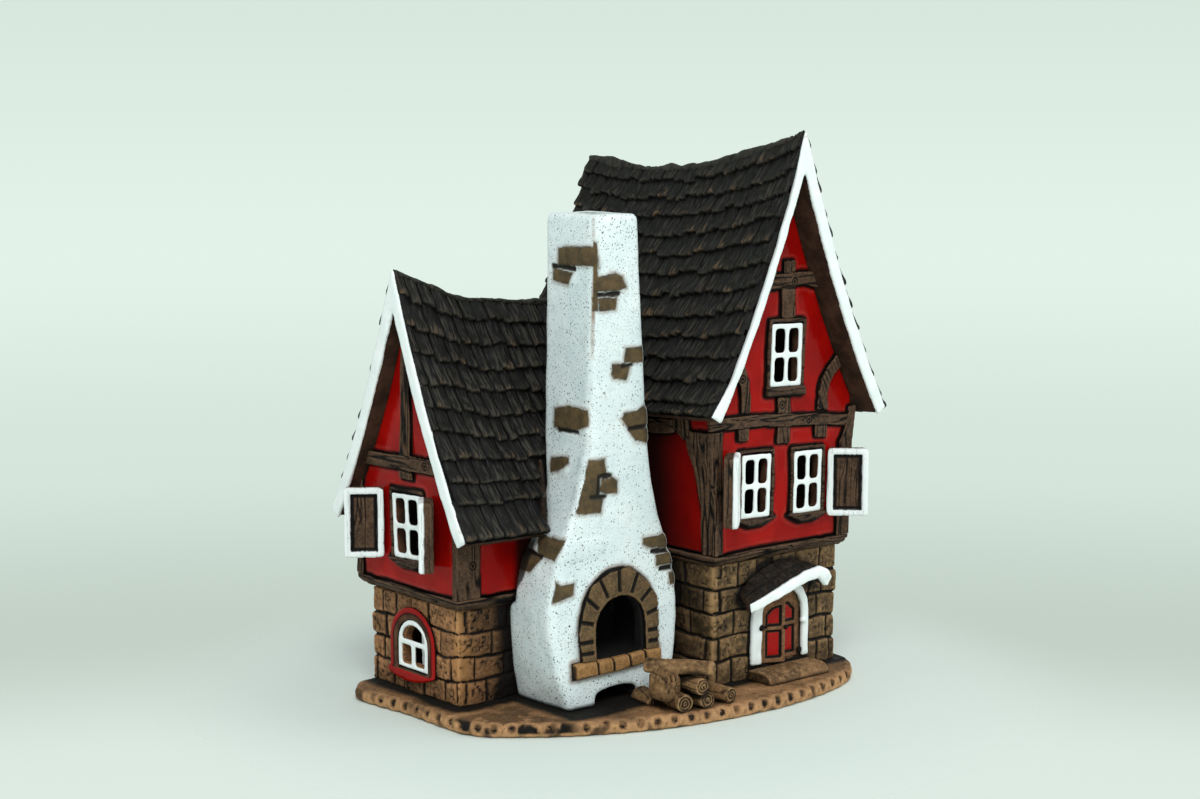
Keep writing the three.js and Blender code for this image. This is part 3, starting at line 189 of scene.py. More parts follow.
def grid_faces(rows, columns, closed=True, flip=False, first=0):
    """Quads between the rows of a grid of points; a closed one is joined round its columns."""
    faces = []
    for i in range(rows - 1):
        for j in range(columns if closed else columns - 1):
            k = (j + 1) % columns
            quad = (i * columns + j, (i + 1) * columns + j, (i + 1) * columns + k, i * columns + k)
            faces.append(tuple(first + corner for corner in (quad[::-1] if flip else quad)))
    return faces


def ball(rows, around):
    """Points of a unit ball, row by row from its top."""
    turns = np.arange(around) * 2 * np.pi / around
    ring, turn = np.meshgrid(np.linspace(0, np.pi, rows + 1), turns, indexing="ij")
    points = np.stack([np.sin(ring) * np.cos(turn), np.sin(ring) * np.sin(turn), np.cos(ring)], -1)
    return points.reshape(-1, 3)


def read(items, key, width, kind):
    values = np.empty(len(items) * width, kind)
    items.foreach_get(key, values)
    return values.reshape(-1, width)


class Clay:
    """A copy of a CAD node as an even skin of small quads, to be softened and worked over."""

    def __init__(self, node, voxel, rounds=4):
        self.node, self.paints = node, {}
        work = add_object("work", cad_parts[node].data.copy())
        remesh = work.modifiers.new("even", "REMESH")
        remesh.mode = "VOXEL"
        remesh.voxel_size = voxel * MM
        depsgraph = bpy.context.evaluated_depsgraph_get()
        self.mesh = bpy.data.meshes.new_from_object(work.evaluated_get(depsgraph))
        bpy.data.objects.remove(work)
        self.p = (read(self.mesh.vertices, "co", 3, float) - HOME) / MM
        self.edges = read(self.mesh.edges, "vertices", 2, np.int64)
        self.quads = read(self.mesh.loops, "vertex_index", 1, np.int64).reshape(-1, 4)
        self.degree = np.maximum(np.bincount(self.edges.ravel(), minlength=len(self.p)), 1)
        self.smooth(rounds)

    def averaged(self, values):
        """For each point, the mean over the points that an edge joins to it."""
        a, b = self.edges.T
        total = [np.bincount(a, column[b], len(values)) + np.bincount(b, column[a], len(values))
                 for column in values.T]
        return np.stack(total, 1) / self.degree[:, None]

    def smooth(self, rounds):
        for _ in range(rounds):
            self.p = 0.4 * self.p + 0.6 * self.averaged(self.p)
        return self

    def normals(self):
        a, b, c, d = (self.p[corner] for corner in self.quads.T)
        face = np.cross(c - a, d - b)
        total = np.zeros_like(self.p)
        for corner in self.quads.T:
            for axis in range(3):
                total[:, axis] += np.bincount(corner, face[:, axis], len(self.p))
        return total / np.maximum(np.linalg.norm(total, axis=1), 1e-12)[:, None]

    def push(self, amount):
        """Moves the skin out along its normals, in for negative amounts."""
        self.p = self.p + self.normals() * np.asarray(amount)[:, None]

    def paint(self, name, values):
        self.paints[name] = np.clip(values, -1, 1)

    def cavity(self, rounds=8, reach=0.4):
        """Paints how far each point lies in a hollow (1) or on an edge (-1)."""
        around = self.p
        for _ in range(rounds):
            around = 0.3 * around + 0.7 * self.averaged(around)
        self.paint("cavity", ((around - self.p) * self.normals()).sum(1) / reach)

    def build(self, name, material, slot):
        self.mesh.vertices.foreach_set("co", (self.p * MM + HOME).ravel())
        piece = place(self.mesh, name, material, slot, self.paints)
        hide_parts(self.node)


# Materials

def rgb(r, g, b):
    """A display colour, 0 to 255, as linear values."""
    return (*(v / 255 / 12.92 if v <= 10 else ((v / 255 + 0.055) / 1.055) ** 2.4 for v in (r, g, b)), 1.0)


class Nodes:
    """A node tree. A source is an output, a number, or a colour as three display values."""

    def __init__(self, tree):
        self.tree = tree

    def join(self, source, target):
        if hasattr(source, "node"):
            self.tree.links.new(source, target)
        else:
            target.default_value = rgb(*source) if isinstance(source, tuple) else source

    def node(self, kind, sources=None, **settings):
        node = self.tree.nodes.new("ShaderNode" + kind)
        for key, value in settings.items():
            setattr(node, key, value)
        for key, source in (sources or {}).items():
            self.join(source, node.inputs[key])
        return node

    def math(self, operation, *values, clamp=False):
        return self.node("Math", dict(enumerate(values)), operation=operation, use_clamp=clamp).outputs[0]

    def seen(self):
        """1 for what the camera sees, straight or in a gloss."""
        path = self.node("LightPath").outputs
        return self.math("MAXIMUM", path["Is Camera Ray"], path["Is Glossy Ray"])

    def mix_shaders(self, share, first, second, end):
        """Sends a mix of two shaders to the tree's output."""
        mixed = self.node("MixShader", {0: share, 1: first.outputs[0], 2: second.outputs[0]})
        self.join(mixed.outputs[0], self.tree.nodes[end].inputs["Surface"])


class Finish(Nodes):
    """A material; sizes are in millimetres."""

    def __init__(self, name, roughness, coat=0.0, shine=0.15):
        self.material = bpy.data.materials.new(name)
        self.material.use_nodes = True
        super().__init__(self.material.node_tree)
        self.shader = self.tree.nodes["Principled BSDF"]
        for key, value in (("Roughness", roughness), ("Specular IOR Level", shine), ("Coat Weight", coat),
                           ("Coat Roughness", 0.06)):
            self.shader.inputs[key].default_value = value
        place = self.node("TexCoord").outputs["Object"]
        self.where = self.node("VectorMath", {0: place, "Scale": 1 / MM}, operation="SCALE").outputs[0]

    def attribute(self, name):
        return self.node("Attribute", attribute_name=name).outputs["Fac"]

    def ramp(self, value, low, high, to_low=0.0, to_high=1.0):
        sources = {"Value": value, "From Min": low, "From Max": high, "To Min": to_low, "To Max": to_high}
        return self.node("MapRange", sources, interpolation_type="SMOOTHSTEP").outputs["Result"]

    def noise(self, size, detail=2.0, rough=0.5):
        sources = {"Vector": self.where, "Scale": 1 / size, "Detail": detail, "Roughness": rough}
        return self.node("TexNoise", sources).outputs["Fac"]

    def specks(self, pitch, radius, share):
        """Small dots, one in some of the cells of that pitch, at most that radius."""
        cell = self.node("TexVoronoi", {"Vector": self.where, "Scale": 1 / pitch}).outputs
        drawn = self.node("SeparateColor", {"Color": cell["Color"]}).outputs
        chosen = self.ramp(drawn["Red"], 1 - share - 0.02, 1 - share + 0.02)
        size = self.math("MULTIPLY_ADD", drawn["Green"], 0.6 * radius / pitch, 0.4 * radius / pitch)
        near = self.math("SUBTRACT", size, cell["Distance"])
        return self.math("MULTIPLY", self.ramp(near, -0.15 * radius / pitch, 0.15 * radius / pitch), chosen)

    def mix(self, share, first, second):
        return self.node("Mix", {"Factor": share, 6: first, 7: second}, data_type="RGBA").outputs[2]

    def over(self, under, color, share, strength=1.0):
        """A colour over another where share is high; share is a value or a paint's name."""
        share = self.attribute(share) if isinstance(share, str) else share
        return self.mix(share if strength == 1 else self.math("MULTIPLY", share, strength), under, color)

    def patches(self, size, low, high, first, second, detail=2, rough=0.5, strength=1.0):
        """The first colour where noise of that size is low, the second where it is high."""
        return self.mix(self.ramp(self.noise(size, detail, rough), low, high, 0, strength), first, second)

    def bump(self, height, distance):
        """Surface relief of that many millimetres where height goes from 0 to 1."""
        node = self.node("Bump", {"Distance": distance * MM, "Height": height})
        normal = self.shader.inputs["Normal"]
        if normal.is_linked:
            self.join(normal.links[0].from_socket, node.inputs["Normal"])
        self.join(node.outputs["Normal"], normal)

    def done(self, color, roughness=None):
        self.join(color, self.shader.inputs["Base Color"])
        if roughness is not None:
            self.join(roughness, self.shader.inputs["Roughness"])
        return self.material


def bare_clay(name, dark, mid, light, hollow, grain=0.16, patch=9.0, edges=0.5, glaze=None, pale=None):
    """Unglazed clay rubbed with dark oxide, which stays in hollows and wears off edges.

    Where the paint "glazed" is 1 the clay has that glaze; where "pale" is 1 it has the pale colour."""
    roughness = 0.75
    f = Finish(name, roughness)
    color = f.patches(patch, 0.36, 0.64, dark, mid, 3, 0.6)
    color = f.patches(patch / 5, 0.42, 0.72, color, light, 3, 0.65, strength=0.65)
    color = f.patches(patch / 9, 0.56, 0.4, color, hollow, 3, 0.65, strength=0.35)
    cavity = f.attribute("cavity")
    if pale:
        color = f.over(color, pale, "pale")
    color = f.over(color, light, f.ramp(cavity, -0.1, -0.6, 0, edges))
    matt = f.ramp(f.noise(3.0), 0.3, 0.7, roughness - 0.12, roughness + 0.12)
    if glaze:
        glazed = f.attribute("glazed")
        color = f.over(color, glaze, glazed)
        matt = f.math("MULTIPLY_ADD", f.math("SUBTRACT", 0.2, matt), glazed, matt)
    # The dark paint holds each piece's dark marks and painted shade, in the hollow colour with the oxide
    stain_and_shade = f.math("MAXIMUM", f.ramp(cavity, 0.06, 0.36, 0, 0.97), f.attribute("dark"), clamp=True)
    color = f.over(color, hollow, stain_and_shade)
    color = f.over(color, hollow, f.specks(1.7, 0.3, 0.3), 0.5)
    f.bump(f.noise(0.9, 4, 0.7), grain)
    f.bump(f.noise(4.0, 3), grain * 1.5)
    return f.done(color, matt)


def red_glaze():
    """The paint "inside" bares the clay, as within the house."""
    f = Finish("red_glaze", 0.12, coat=0.05, shine=0.08)
    color = f.patches(16, 0.35, 0.65, (142, 9, 6), (162, 14, 9))
    # Painted reflection: the glaze turns pale in a ring round the timbers
    color = f.over(color, (186, 78, 68), "halo", 0.28)
    color = f.over(color, (60, 8, 6), f.specks(2.4, 0.22, 0.2), 0.35)
    bare, dark = f.attribute("inside"), f.attribute("dark")
    color = f.over(color, f.patches(6, 0.35, 0.65, (62, 44, 33), (98, 70, 51), 3), bare)
    # The dark paint holds black outlines and painted shade
    color = f.over(color, (20, 12, 9), dark)
    f.bump(f.noise(5.0), 0.22)
    return f.done(color, f.ramp(f.math("MAXIMUM", bare, dark, clamp=True), 0, 1, 0.14, 0.85))


def white_glaze():
    """Thin and brownish along sharp edges."""
    f = Finish("white_glaze", 0.2, coat=0.25, shine=0.4)
    color = f.patches(7, 0.3, 0.7, (240, 249, 246), (249, 254, 252))
    edge = f.ramp(f.attribute("cavity"), -0.6, -1.0, 0, 0.5)
    color = f.over(color, (176, 146, 120), f.math("MULTIPLY", edge, f.ramp(f.noise(3.2, 3), 0.55, 0.66)))
    dark = f.attribute("dark")
    color = f.over(color, (46, 34, 26), dark)
    f.bump(f.noise(2.6), 0.1)
    return f.done(color, f.ramp(dark, 0, 1, 0.2, 0.75))


def whitewash():
    """Speckled white on the chimney; the paint "bare" shows its bricks, "thin" the clay through the white."""
    f = Finish("whitewash", 0.3, coat=0.1, shine=0.3)
    color = f.patches(14, 0.3, 0.7, (226, 241, 241), (240, 250, 249), 3)
    color = f.patches(2.2, 0.5, 0.7, color, (196, 210, 208), 3, strength=0.2)
    for pitch, radius, share, strength, tint in ((0.7, 0.23, 0.85, 0.6, (128, 120, 104)),
                                                 (1.0, 0.27, 0.75, 0.95, (70, 60, 48)),
                                                 (1.7, 0.33, 0.5, 0.95, (42, 36, 29)),
                                                 (3.6, 0.44, 0.3, 1.0, (26, 22, 19))):
        color = f.over(color, tint, f.specks(pitch, radius, share), strength)
    color = f.over(color, (134, 96, 66), "thin")
    brick = f.patches(5, 0.35, 0.65, (74, 61, 41), (100, 81, 52), 3, 0.6)
    brick = f.patches(1.3, 0.5, 0.7, brick, (62, 50, 35), 4, 0.7, strength=0.6)
    # Soot and painted shade in the openings go near black; the dark paint holds joints, ink and painted shade
    bare, dark, soot_and_shade = f.attribute("bare"), f.attribute("dark"), f.attribute("soot_and_shade")
    for share, tint in ((bare, brick), (dark, (24, 19, 15)), (soot_and_shade, (9, 8, 7))):
        color = f.over(color, tint, share)
    f.bump(f.noise(3.4, 3), 0.16)
    f.bump(f.noise(0.7, 3), 0.06)
    matt = f.math("MAXIMUM", f.math("MAXIMUM", bare, soot_and_shade), dark, clamp=True)
    return f.done(color, f.ramp(matt, 0, 1, 0.3, 0.88))


def tile_clay():
    """Each tile has its own paint "tone"; "warm" is a painted highlight on its lip, stronger on some tiles.
    """
    f = Finish("tile_clay", 0.62, shine=0.22)
    color = f.mix(f.ramp(f.attribute("tone"), -1, 1), (30, 29, 26), (56, 54, 48))
    color = f.patches(3.0, 0.46, 0.66, color, (60, 55, 47), 4, 0.65, strength=0.45)
    # Painted highlight on the tiles' lips
    color = f.over(color, (104, 84, 63), "warm")
    color = f.over(color, (10, 9, 8), f.ramp(f.attribute("comb"), 0.05, 0.6, 0, 0.95))
    # Dark gaps, and painted shadow under the course above
    color = f.over(color, (9, 8, 7), "dark")
    f.bump(f.noise(0.8, 3, 0.7), 0.14)
    return f.done(color, f.ramp(f.noise(3.0), 0.3, 0.7, 0.5, 0.75))


def roof_clay():
    """The slabs under the tiles: black between the tiles, brown on the soffits."""
    f = Finish("roof_clay", 0.8)
    normal = f.node("SeparateXYZ", {0: f.node("NewGeometry").outputs["Normal"]})
    soffit = f.patches(6, 0.35, 0.65, (48, 32, 23), (72, 50, 37), 3, 0.6)
    f.bump(f.noise(1.2, 4, 0.7), 0.25)
    return f.done(f.mix(f.ramp(normal.outputs["Z"], 0.1, -0.05), (14, 12, 11), soffit))


STONE = bare_clay("stone_clay", (128, 93, 63), (170, 122, 82), (200, 149, 102), (20, 15, 12),
                  patch=12, pale=(184, 134, 82))
TOWER_STONE = bare_clay("tower_stone_clay", (78, 62, 43), (116, 92, 63), (162, 130, 90), (18, 15, 12),
                        patch=12, pale=(156, 124, 84))
BRICK = bare_clay("brick_clay", (86, 69, 48), (112, 90, 62), (138, 112, 78), (16, 13, 10), patch=6, edges=0.2)
SILL_BRICK = bare_clay("sill_brick_clay", (132, 98, 60), (166, 124, 76), (186, 142, 92), (20, 15, 12),
                       patch=6, edges=0.2)
TIMBER = bare_clay("timber_clay", (64, 48, 36), (88, 67, 51), (112, 87, 67), (12, 9, 8),
                   patch=7, glaze=(244, 250, 248))
DOOR = bare_clay("door_clay", (112, 80, 56), (138, 100, 70), (160, 120, 86), (14, 10, 8),
                 patch=7, glaze=(166, 20, 16))
LOG = bare_clay("log_clay", (92, 69, 46), (138, 105, 71), (176, 140, 98), (18, 14, 10), patch=12)
TERRACOTTA = bare_clay("terracotta", (144, 106, 70), (184, 138, 94), (206, 160, 114), (22, 19, 16), grain=0.3)
HOOD = bare_clay("hood_clay", (21, 18, 16), (32, 27, 23), (66, 49, 36), (7, 6, 5))
RED, WHITE, WASH, TILE, ROOF = red_glaze(), white_glaze(), whitewash(), tile_clay(), roof_clay()


# Base: a slab of grogged clay with tool marks round its rim, with painted shade and smoke stain where it
# meets what stands on it

MARK_DEPTH = 1.5
MARK_PITCH = 2.5
TOWER_FOOT = (TOWER_X - 33, TOWER_X + 33, -38, 60)
COTTAGE_FOOT = (0, 86, 0, 54)
CHIMNEY_FOOT = (25, 73, -35)
LOGS_FOOT = (55, 77, -54)


def pressed_marks():
    """Where the CAD rim is pressed: its pits' deepest points, one for each pit."""
    centres = []
    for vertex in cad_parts["base_plate"].data.vertices:
        point = (np.array(vertex.co) - HOME) / MM
        deep = abs(point[2] - GROUND + MARK_DEPTH) < 0.05
        if deep and all(np.hypot(*(point - c)[:2]) > MARK_PITCH for c in centres):
            centres.append(point)
    return centres


def base():
    clay = Clay("base_plate", 0.8, 3)
    p = clay.p
    x, y, z = p.T
    mark = least(far(p), *(np.linalg.norm((p - centre) * [1, 1, 0.8], axis=1) for centre in pressed_marks()))
    pit = step(2.3, 0.9, mark)
    burr = step(3.4, 2.4, mark) * (1 - pit)
    clay.push(0.3 * fractal(p, 14, 1) + 0.14 * noise(p, 2.6, 2) - 0.5 * pit + 0.25 * burr)
    clay.cavity()
    walls = least(*(off_box(p, *foot) for foot in (TOWER_FOOT, COTTAGE_FOOT, CHIMNEY_FOOT)))
    # Painted shade and smoke stain: the top darkens near the walls and the stack, and under the logs
    near = most(1.85 - walls / 5.2, 0.46 - walls / 90, 0.9 - off_box(p, *LOGS_FOOT) / 6)
    shade_and_smoke = step(GROUND - 1.6, GROUND - 0.5, z) * np.clip(near + 0.42 * fractal(p, 12, 5), 0, 1)
    smear = (step(-0.08, 0.14, fractal(p, 6, 8)) * step(27, 20, np.abs(x + 4)) * step(-6, -12, y)
             * step(GROUND + 0.6, GROUND - 0.4, z) * step(GROUND - 3.8, GROUND - 3, z))
    blot = 0.75 * step(0.12, 0.5, fractal(p, 4.5, 10)) * step(GROUND + 0.4, GROUND - 0.6, z)
    pitted = 0.95 * step(1.9, 0.9, mark + 0.6 * noise(p, 18, 12)) * (0.8 + 0.5 * noise(p, 2, 9))
    clay.paint("dark", most(shade_and_smoke, pitted, smear, blot))
    clay.p[:, 2] = np.maximum(clay.p[:, 2], 0.0)
    clay.build("base", TERRACOTTA, "terracotta")


# Stone courses: incised joints, each block a little proud and pitted by a stamp

def courses(a, b, top, rows, stones, along, height, seed):
    """Distance to the nearest joint line, and a number for the block, for points of one face."""
    rise, length = (top - GROUND) / rows, (b - a) / stones
    count = (height - GROUND) / rise
    row = np.clip(np.floor(count), 0, rows - 1)
    level = np.abs(count - np.round(count)) * rise
    level = np.where((height < GROUND + rise * 0.5) | (height > top - rise * 0.5), FAR, level)
    upright, block = far(along), np.zeros(len(along))
    for k in range(stones + 2):
        turn = lattice(row.astype(np.int64), k, seed, 7)
        joint = a + (k - 0.5 * np.mod(row, 2) + 0.28 * turn) * length
        lean = 0.06 * turn * (height - GROUND - (row + 0.5) * rise)
        within = (joint > a + 1.6) & (joint < b - 1.6)
        upright = np.where(within, least(upright, np.abs(along - joint - lean)), upright)
        block += along > joint
    return least(level, upright), block + 7 * row


def stone(node, name, material, top, rows, faces, arris, shade, seed):
    """Faces are (axis, plane, start, end, stones in a row); the arris is a rubbed corner and its reach."""
    clay = Clay(node, 0.45, 3)
    p, n = clay.p, clay.normals()
    wobble = 0.8 * noise(p, 9, seed) + 0.3 * noise(p, 3, seed + 9)
    gap, block = far(p), np.zeros(len(p))
    for axis, plane, a, b, stones in faces:
        out = 1 if plane > p[:, axis].mean() else -1
        near = (np.abs(p[:, axis] - plane) < 1.6) & (out * n[:, axis] > 0.4)
        away, number = courses(a, b, top, rows, stones, p[:, 1 - axis] + 0.6 * wobble, p[:, 2] + wobble, seed)
        gap = np.where(near, away, gap)
        block = np.where(near, number + 31 * axis, block)
    face, number = gap < FAR - 0.5, block.astype(np.int64)
    width = 0.36 + 0.24 * noise(p, 7, seed + 8)
    joint = face * step(width + 0.34, width - 0.1, gap)
    pillow = face * step(0.5, 2.0, gap)
    own = p + block[:, None] * 13.7
    stamp = step(1.3, 2.2, gap) * step(-0.1, 0.15, fractal(own, 4.5, seed + 4))
    dots = step(0.5, 0.62, noise(p, 0.95, seed + 5)) * step(-0.2, 0.3, noise(own, 4, seed + 10))
    marks = face * most(threads(own, 1.5, seed + 3, 0.22) * stamp, 0.8 * dots)
    clay.push(0.3 * fractal(p, 8, seed + 1) + 0.16 * noise(p, 1.6, seed + 2) + 0.3 * pillow - 0.6 * joint
              - 0.3 * marks + 0.4 * face * lattice(number, seed, 3, 1))
    clay.cavity(7)
    low = step(14, 4, p[:, 2]) * (0.4 + 0.5 * fractal(p, 8, seed + 6))
    tone = 0.4 * np.maximum(lattice(number, seed, 5, 2), 0) * face
    worn = step(arris[2], 0.4, np.hypot(p[:, 0] - arris[0], p[:, 1] - arris[1]) + 1.6 * wobble)
    lines = most(joint * (1 - 0.5 * worn), 0.7 * marks)
    clay.paint("dark", lines + 0.7 * np.maximum(low, 0) + tone * (1 - worn) + shade(p, n) * (1 - joint))
    clay.paint("pale", 0.8 * worn * (1 - joint))
    clay.build(name, material, "stone_clay")


# Timbers: planed clay with incised grain along their length and round peg holes

timber_points = []
WALLS = [BVHTree.FromObject(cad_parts[wing + walls], bpy.context.evaluated_depsgraph_get())
         for walls in ("_plaster_walls", "_stone_walls") for wing in ("cottage", "tower")]


def off_walls(p, reach=1.4):
    """Distance in millimetres from the walls' CAD faces, at most reach."""
    away = np.full(len(p), reach)
    spots = p * MM + HOME
    for tree in WALLS:
        for k, spot in enumerate(spots):
            found = tree.find_nearest(spot, reach * MM)
            if found[3] is not None:
                away[k] = min(away[k], found[3] / MM)
    return away


def timber(node, name, material=TIMBER, slot="timber_clay", slant=0.0, level=False, voxel=0.36, pegs=(),
           grain=0.5, lined=0.97, bend=0.55, extra=None, dark=None, outlined=True):
    """Level is True, False for upright, or gives a share of levelness for each point."""
    clay = Clay(node, voxel)
    p = clay.p
    turn = math.radians(slant)
    up = p[:, 2] * math.cos(turn) + p[:, 0] * math.sin(turn)
    across = p[:, 0] * math.cos(turn) - p[:, 2] * math.sin(turn)
    wander = 0.5 * noise(p, 7, 7)
    lying = np.stack([p[:, 0] * 0.07, p[:, 1] * 0.07, p[:, 2] + wander], 1)
    standing = np.stack([across + wander, p[:, 1], up * 0.07], 1)
    share = np.broadcast_to(np.asarray(level(p) if callable(level) else float(level)), len(p))
    q = np.where((share > 0.5)[:, None], lying, standing)
    lines = most(threads(q, 1.4, 3, 0.32) * step(-0.35, -0.1, noise(q, 3.1, 4)),
                 0.9 * threads(q, 1.0, 8, 0.26) * step(-0.05, 0.25, noise(q, 2.3, 9)))
    if callable(level):
        lines = most(lines * step(0.02, 0.12, np.abs(share - 0.5)), step(0.22, 0.05, np.abs(share - 0.5)))
    lines = lines * lined
    hole = np.zeros(len(p))
    for peg in pegs:
        away = np.linalg.norm(p - np.array(peg), axis=1)
        hole = most(hole, step(0.8, 0.5, away), 0.9 * step(0.4, 0.15, np.abs(away - 1.35)))
        lines = lines * step(1.3, 2.0, away)
    touching = off_walls(p) if outlined else far(p)
    clay.push(0.18 * fractal(p, 6, 5) - grain * lines - 0.5 * hole)
    if bend:
        sway = bend * noise(p * [0.02, 0.02, 1], 13, 10)
        clay.p = clay.p + np.stack([sway, 0.4 * sway, bend * noise(p * [1, 1, 0.02], 15, 11)], 1)
    timber_points.append(clay.p[::2])
    if extra:
        extra(clay)
    clay.cavity(7, 0.3)
    stain_and_shade = most(step(0.3, 0.85, lines), hole) * (1 - clay.paints.get("glazed", 0))
    stain_and_shade = most(stain_and_shade, 0.95 * step(0.9, 0.5, touching))
    if dark:
        stain_and_shade = most(stain_and_shade, dark(p, clay.normals()))
    clay.paint("dark", stain_and_shade)
    clay.build(name, material, slot)


def beam(line, half, across=0):
    """Levelness of points near a beam's centre line, given as places along the face and heights."""
    return lambda p: np.clip(0.5 + half - np.abs(p[:, 2] - np.interp(p[:, across], *zip(*line))), 0, 1)


# White window bars and bands, rounded like rolled clay

def trim(node, name, material=WHITE, slot="white_glaze", voxel=0.36, rounds=5, wave=0.14, wave_size=5.0,
         grow=lambda p: 0.0, paints=lambda p, n: {}, bend=None):
    clay = Clay(node, voxel, rounds)
    if bend:
        clay.p = bend(clay.p)
    clay.push(grow(clay.p) + wave * fractal(clay.p, wave_size, 9))
    clay.cavity(6, 0.3)
    for paint, values in paints(clay.p, clay.normals()).items():
        clay.paint(paint, values)
    clay.build(name, material, slot)


# Red glazed storeys: outlined in black round every timber, with a painted reflection as a pale ring just
# beyond

def plaster(node, name, shade):
    clay = Clay(node, 0.6)
    p, n = clay.p, clay.normals()
    low, high = node_box(node)
    clay.push(0.2 * fractal(p, 13, 21))
    clay.cavity()
    outward = most(0, *(-n[:, k] * (p[:, k] < low[k] + 7) for k in (0, 1)),
                   *(n[:, k] * (p[:, k] > high[k] - 7) for k in (0, 1)))
    clay.paint("inside", step(0.75, 0.5, outward))
    spots = np.concatenate(timber_points)
    tree = KDTree(len(spots))
    for count, spot in enumerate(spots):
        tree.insert(spot, count)
    tree.balance()
    away = np.array([tree.find(point)[2] for point in p])
    cloud = fractal(p, 3.5, 23)
    # Painted reflection: a pale ring just beyond each timber, and a faint paleness towards the wall's foot
    ring = step(3.0, 2.0, away + 0.5 * cloud) * step(1.3, 1.8, away) * step(-0.25, 0.35, fractal(p, 11, 24))
    foot = step(low[2] + 9, low[2] + 4, p[:, 2] + 3 * cloud) * 0.16
    clay.paint("halo", most(0.8 * ring, foot))
    clay.paint("dark", most(step(1.55, 1.05, away + 0.2 * cloud), shade(p, n)))
    clay.build(name, RED, "red_glaze")


# Roofs: each tile is a pressed slip of clay, combed lengthwise, laid in staggered courses

BELLY = 0.27
DENT_PLACE = 20
DENT_REACH = 10


class Wing:
    """A wing's two slopes. The ridge is lowest at low and rises to front and back, but for a dent; the eaves
    follow it by a share, and the far one lies lower by lean. Lips are the shares down the slope where rows of
    tiles end, close at the ridge and wider apart below."""

    def __init__(self, **sizes):
        self.__dict__.update(sizes)
        self.slope = math.hypot(self.spread, self.ridge_low - self.eave)

    def ridge(self, u):
        reach = np.where(u < self.low, self.low - self.front, self.back - self.low)
        rise = np.where(u < self.low, self.rise, self.rise_back)
        dent = self.dent * np.exp(-((u - DENT_PLACE) / DENT_REACH) ** 2)
        return self.ridge_low + rise * ((u - self.low) / reach) ** 2 - dent

    def surface(self, u, s, h, side):
        """House points at u along the ridge, share s down the slope and height h over the slab."""
        eave = self.eave + self.follow * (self.ridge(u) - self.ridge_low) - (self.lean if side > 0 else 0)
        height = self.ridge(u) - eave
        steep = height / self.spread * (1 + BELLY * (1 - 2 * s))
        length = np.hypot(1, steep)
        s = np.maximum(s, -h * steep / length / self.spread)
        z = self.ridge(u) - height * (s + BELLY * (s - s * s)) + h / length
        return self.turned(u, self.centre + side * (s * self.spread + h * steep / length), z)

    def turned(self, u, v, z):
        """House points from places along and across the wing."""
        return np.stack([u, v, z] if self.along == "x" else [v, u, z], -1)


COTTAGE = Wing(along="x", centre=26, lean=0, front=-9.5, back=107, low=62, rise=15, rise_back=1, dent=1.7,
               spread=41, eave=67, follow=0.05, ridge_low=144.5,
               lips=[0.075 + 0.0875 * k + 0.0008 * k * k for k in range(9)] + [1.0])
TOWER = Wing(along="y", centre=TOWER_X, lean=4.5, front=-51.5, back=70.5, low=30.6, rise=15, rise_back=4,
             dent=0, spread=45, eave=105, follow=0.18, ridge_low=192.3,
             lips=[0.04 + 0.06 * k + 0.002 * k * k for k in range(12)] + [1.0])
TILE_WIDTH = 5.7
TILE_GAP = 0.55
TILE_LEAST = 1.2
TILE_ACROSS = np.concatenate([[0.0, 0.0], np.linspace(0.03, 0.97, 31), [1.0, 1.0]])
TILE_DOWN = np.array([0.0, 0.12, 0.26, 0.42, 0.58, 0.72, 0.83, 0.91, 0.97, 1.0, 1.0])


def tile_spots(wing, side, hidden, stop):
    """For each tile its row, its limits along the ridge and its limits as shares down the slope."""
    start, end = wing.front + 0.9, wing.back
    for row, lip in enumerate(wing.lips):
        u = start - TILE_WIDTH * rng.uniform(0.2, 0.8)
        s0 = wing.lips[row - 1] - 0.016 if row else -0.06
        while u < end - 1:
            width = TILE_WIDTH * rng.uniform(0.78, 1.28)
            u0, u1 = max(u, start), min(u + width - TILE_GAP * rng.uniform(0.7, 1.5), end)
            u += width
            if u1 - u0 < TILE_LEAST:
                continue
            s1 = lip + rng.uniform(*((-0.6, 0.1) if lip == 1 else (-0.5, 1.2))) / wing.slope
            u1 = stop(wing.surface((u0 + u1) / 2, (s0 + s1) / 2, 0.0, side), u1)
            if u1 - u0 >= TILE_LEAST and not hidden(wing.surface((u0 + u1) / 2, (s0 + s1) / 2, 0.0, side)):
                yield row, u0, u1, s0, s1


def on_tile(texture, own, x, y, *sizes):
    """A texture over one tile; own sets it apart from the other tiles."""
    return texture(np.stack([x.ravel(), np.full(x.size, own), y.ravel()], 1), *sizes).reshape(x.shape)


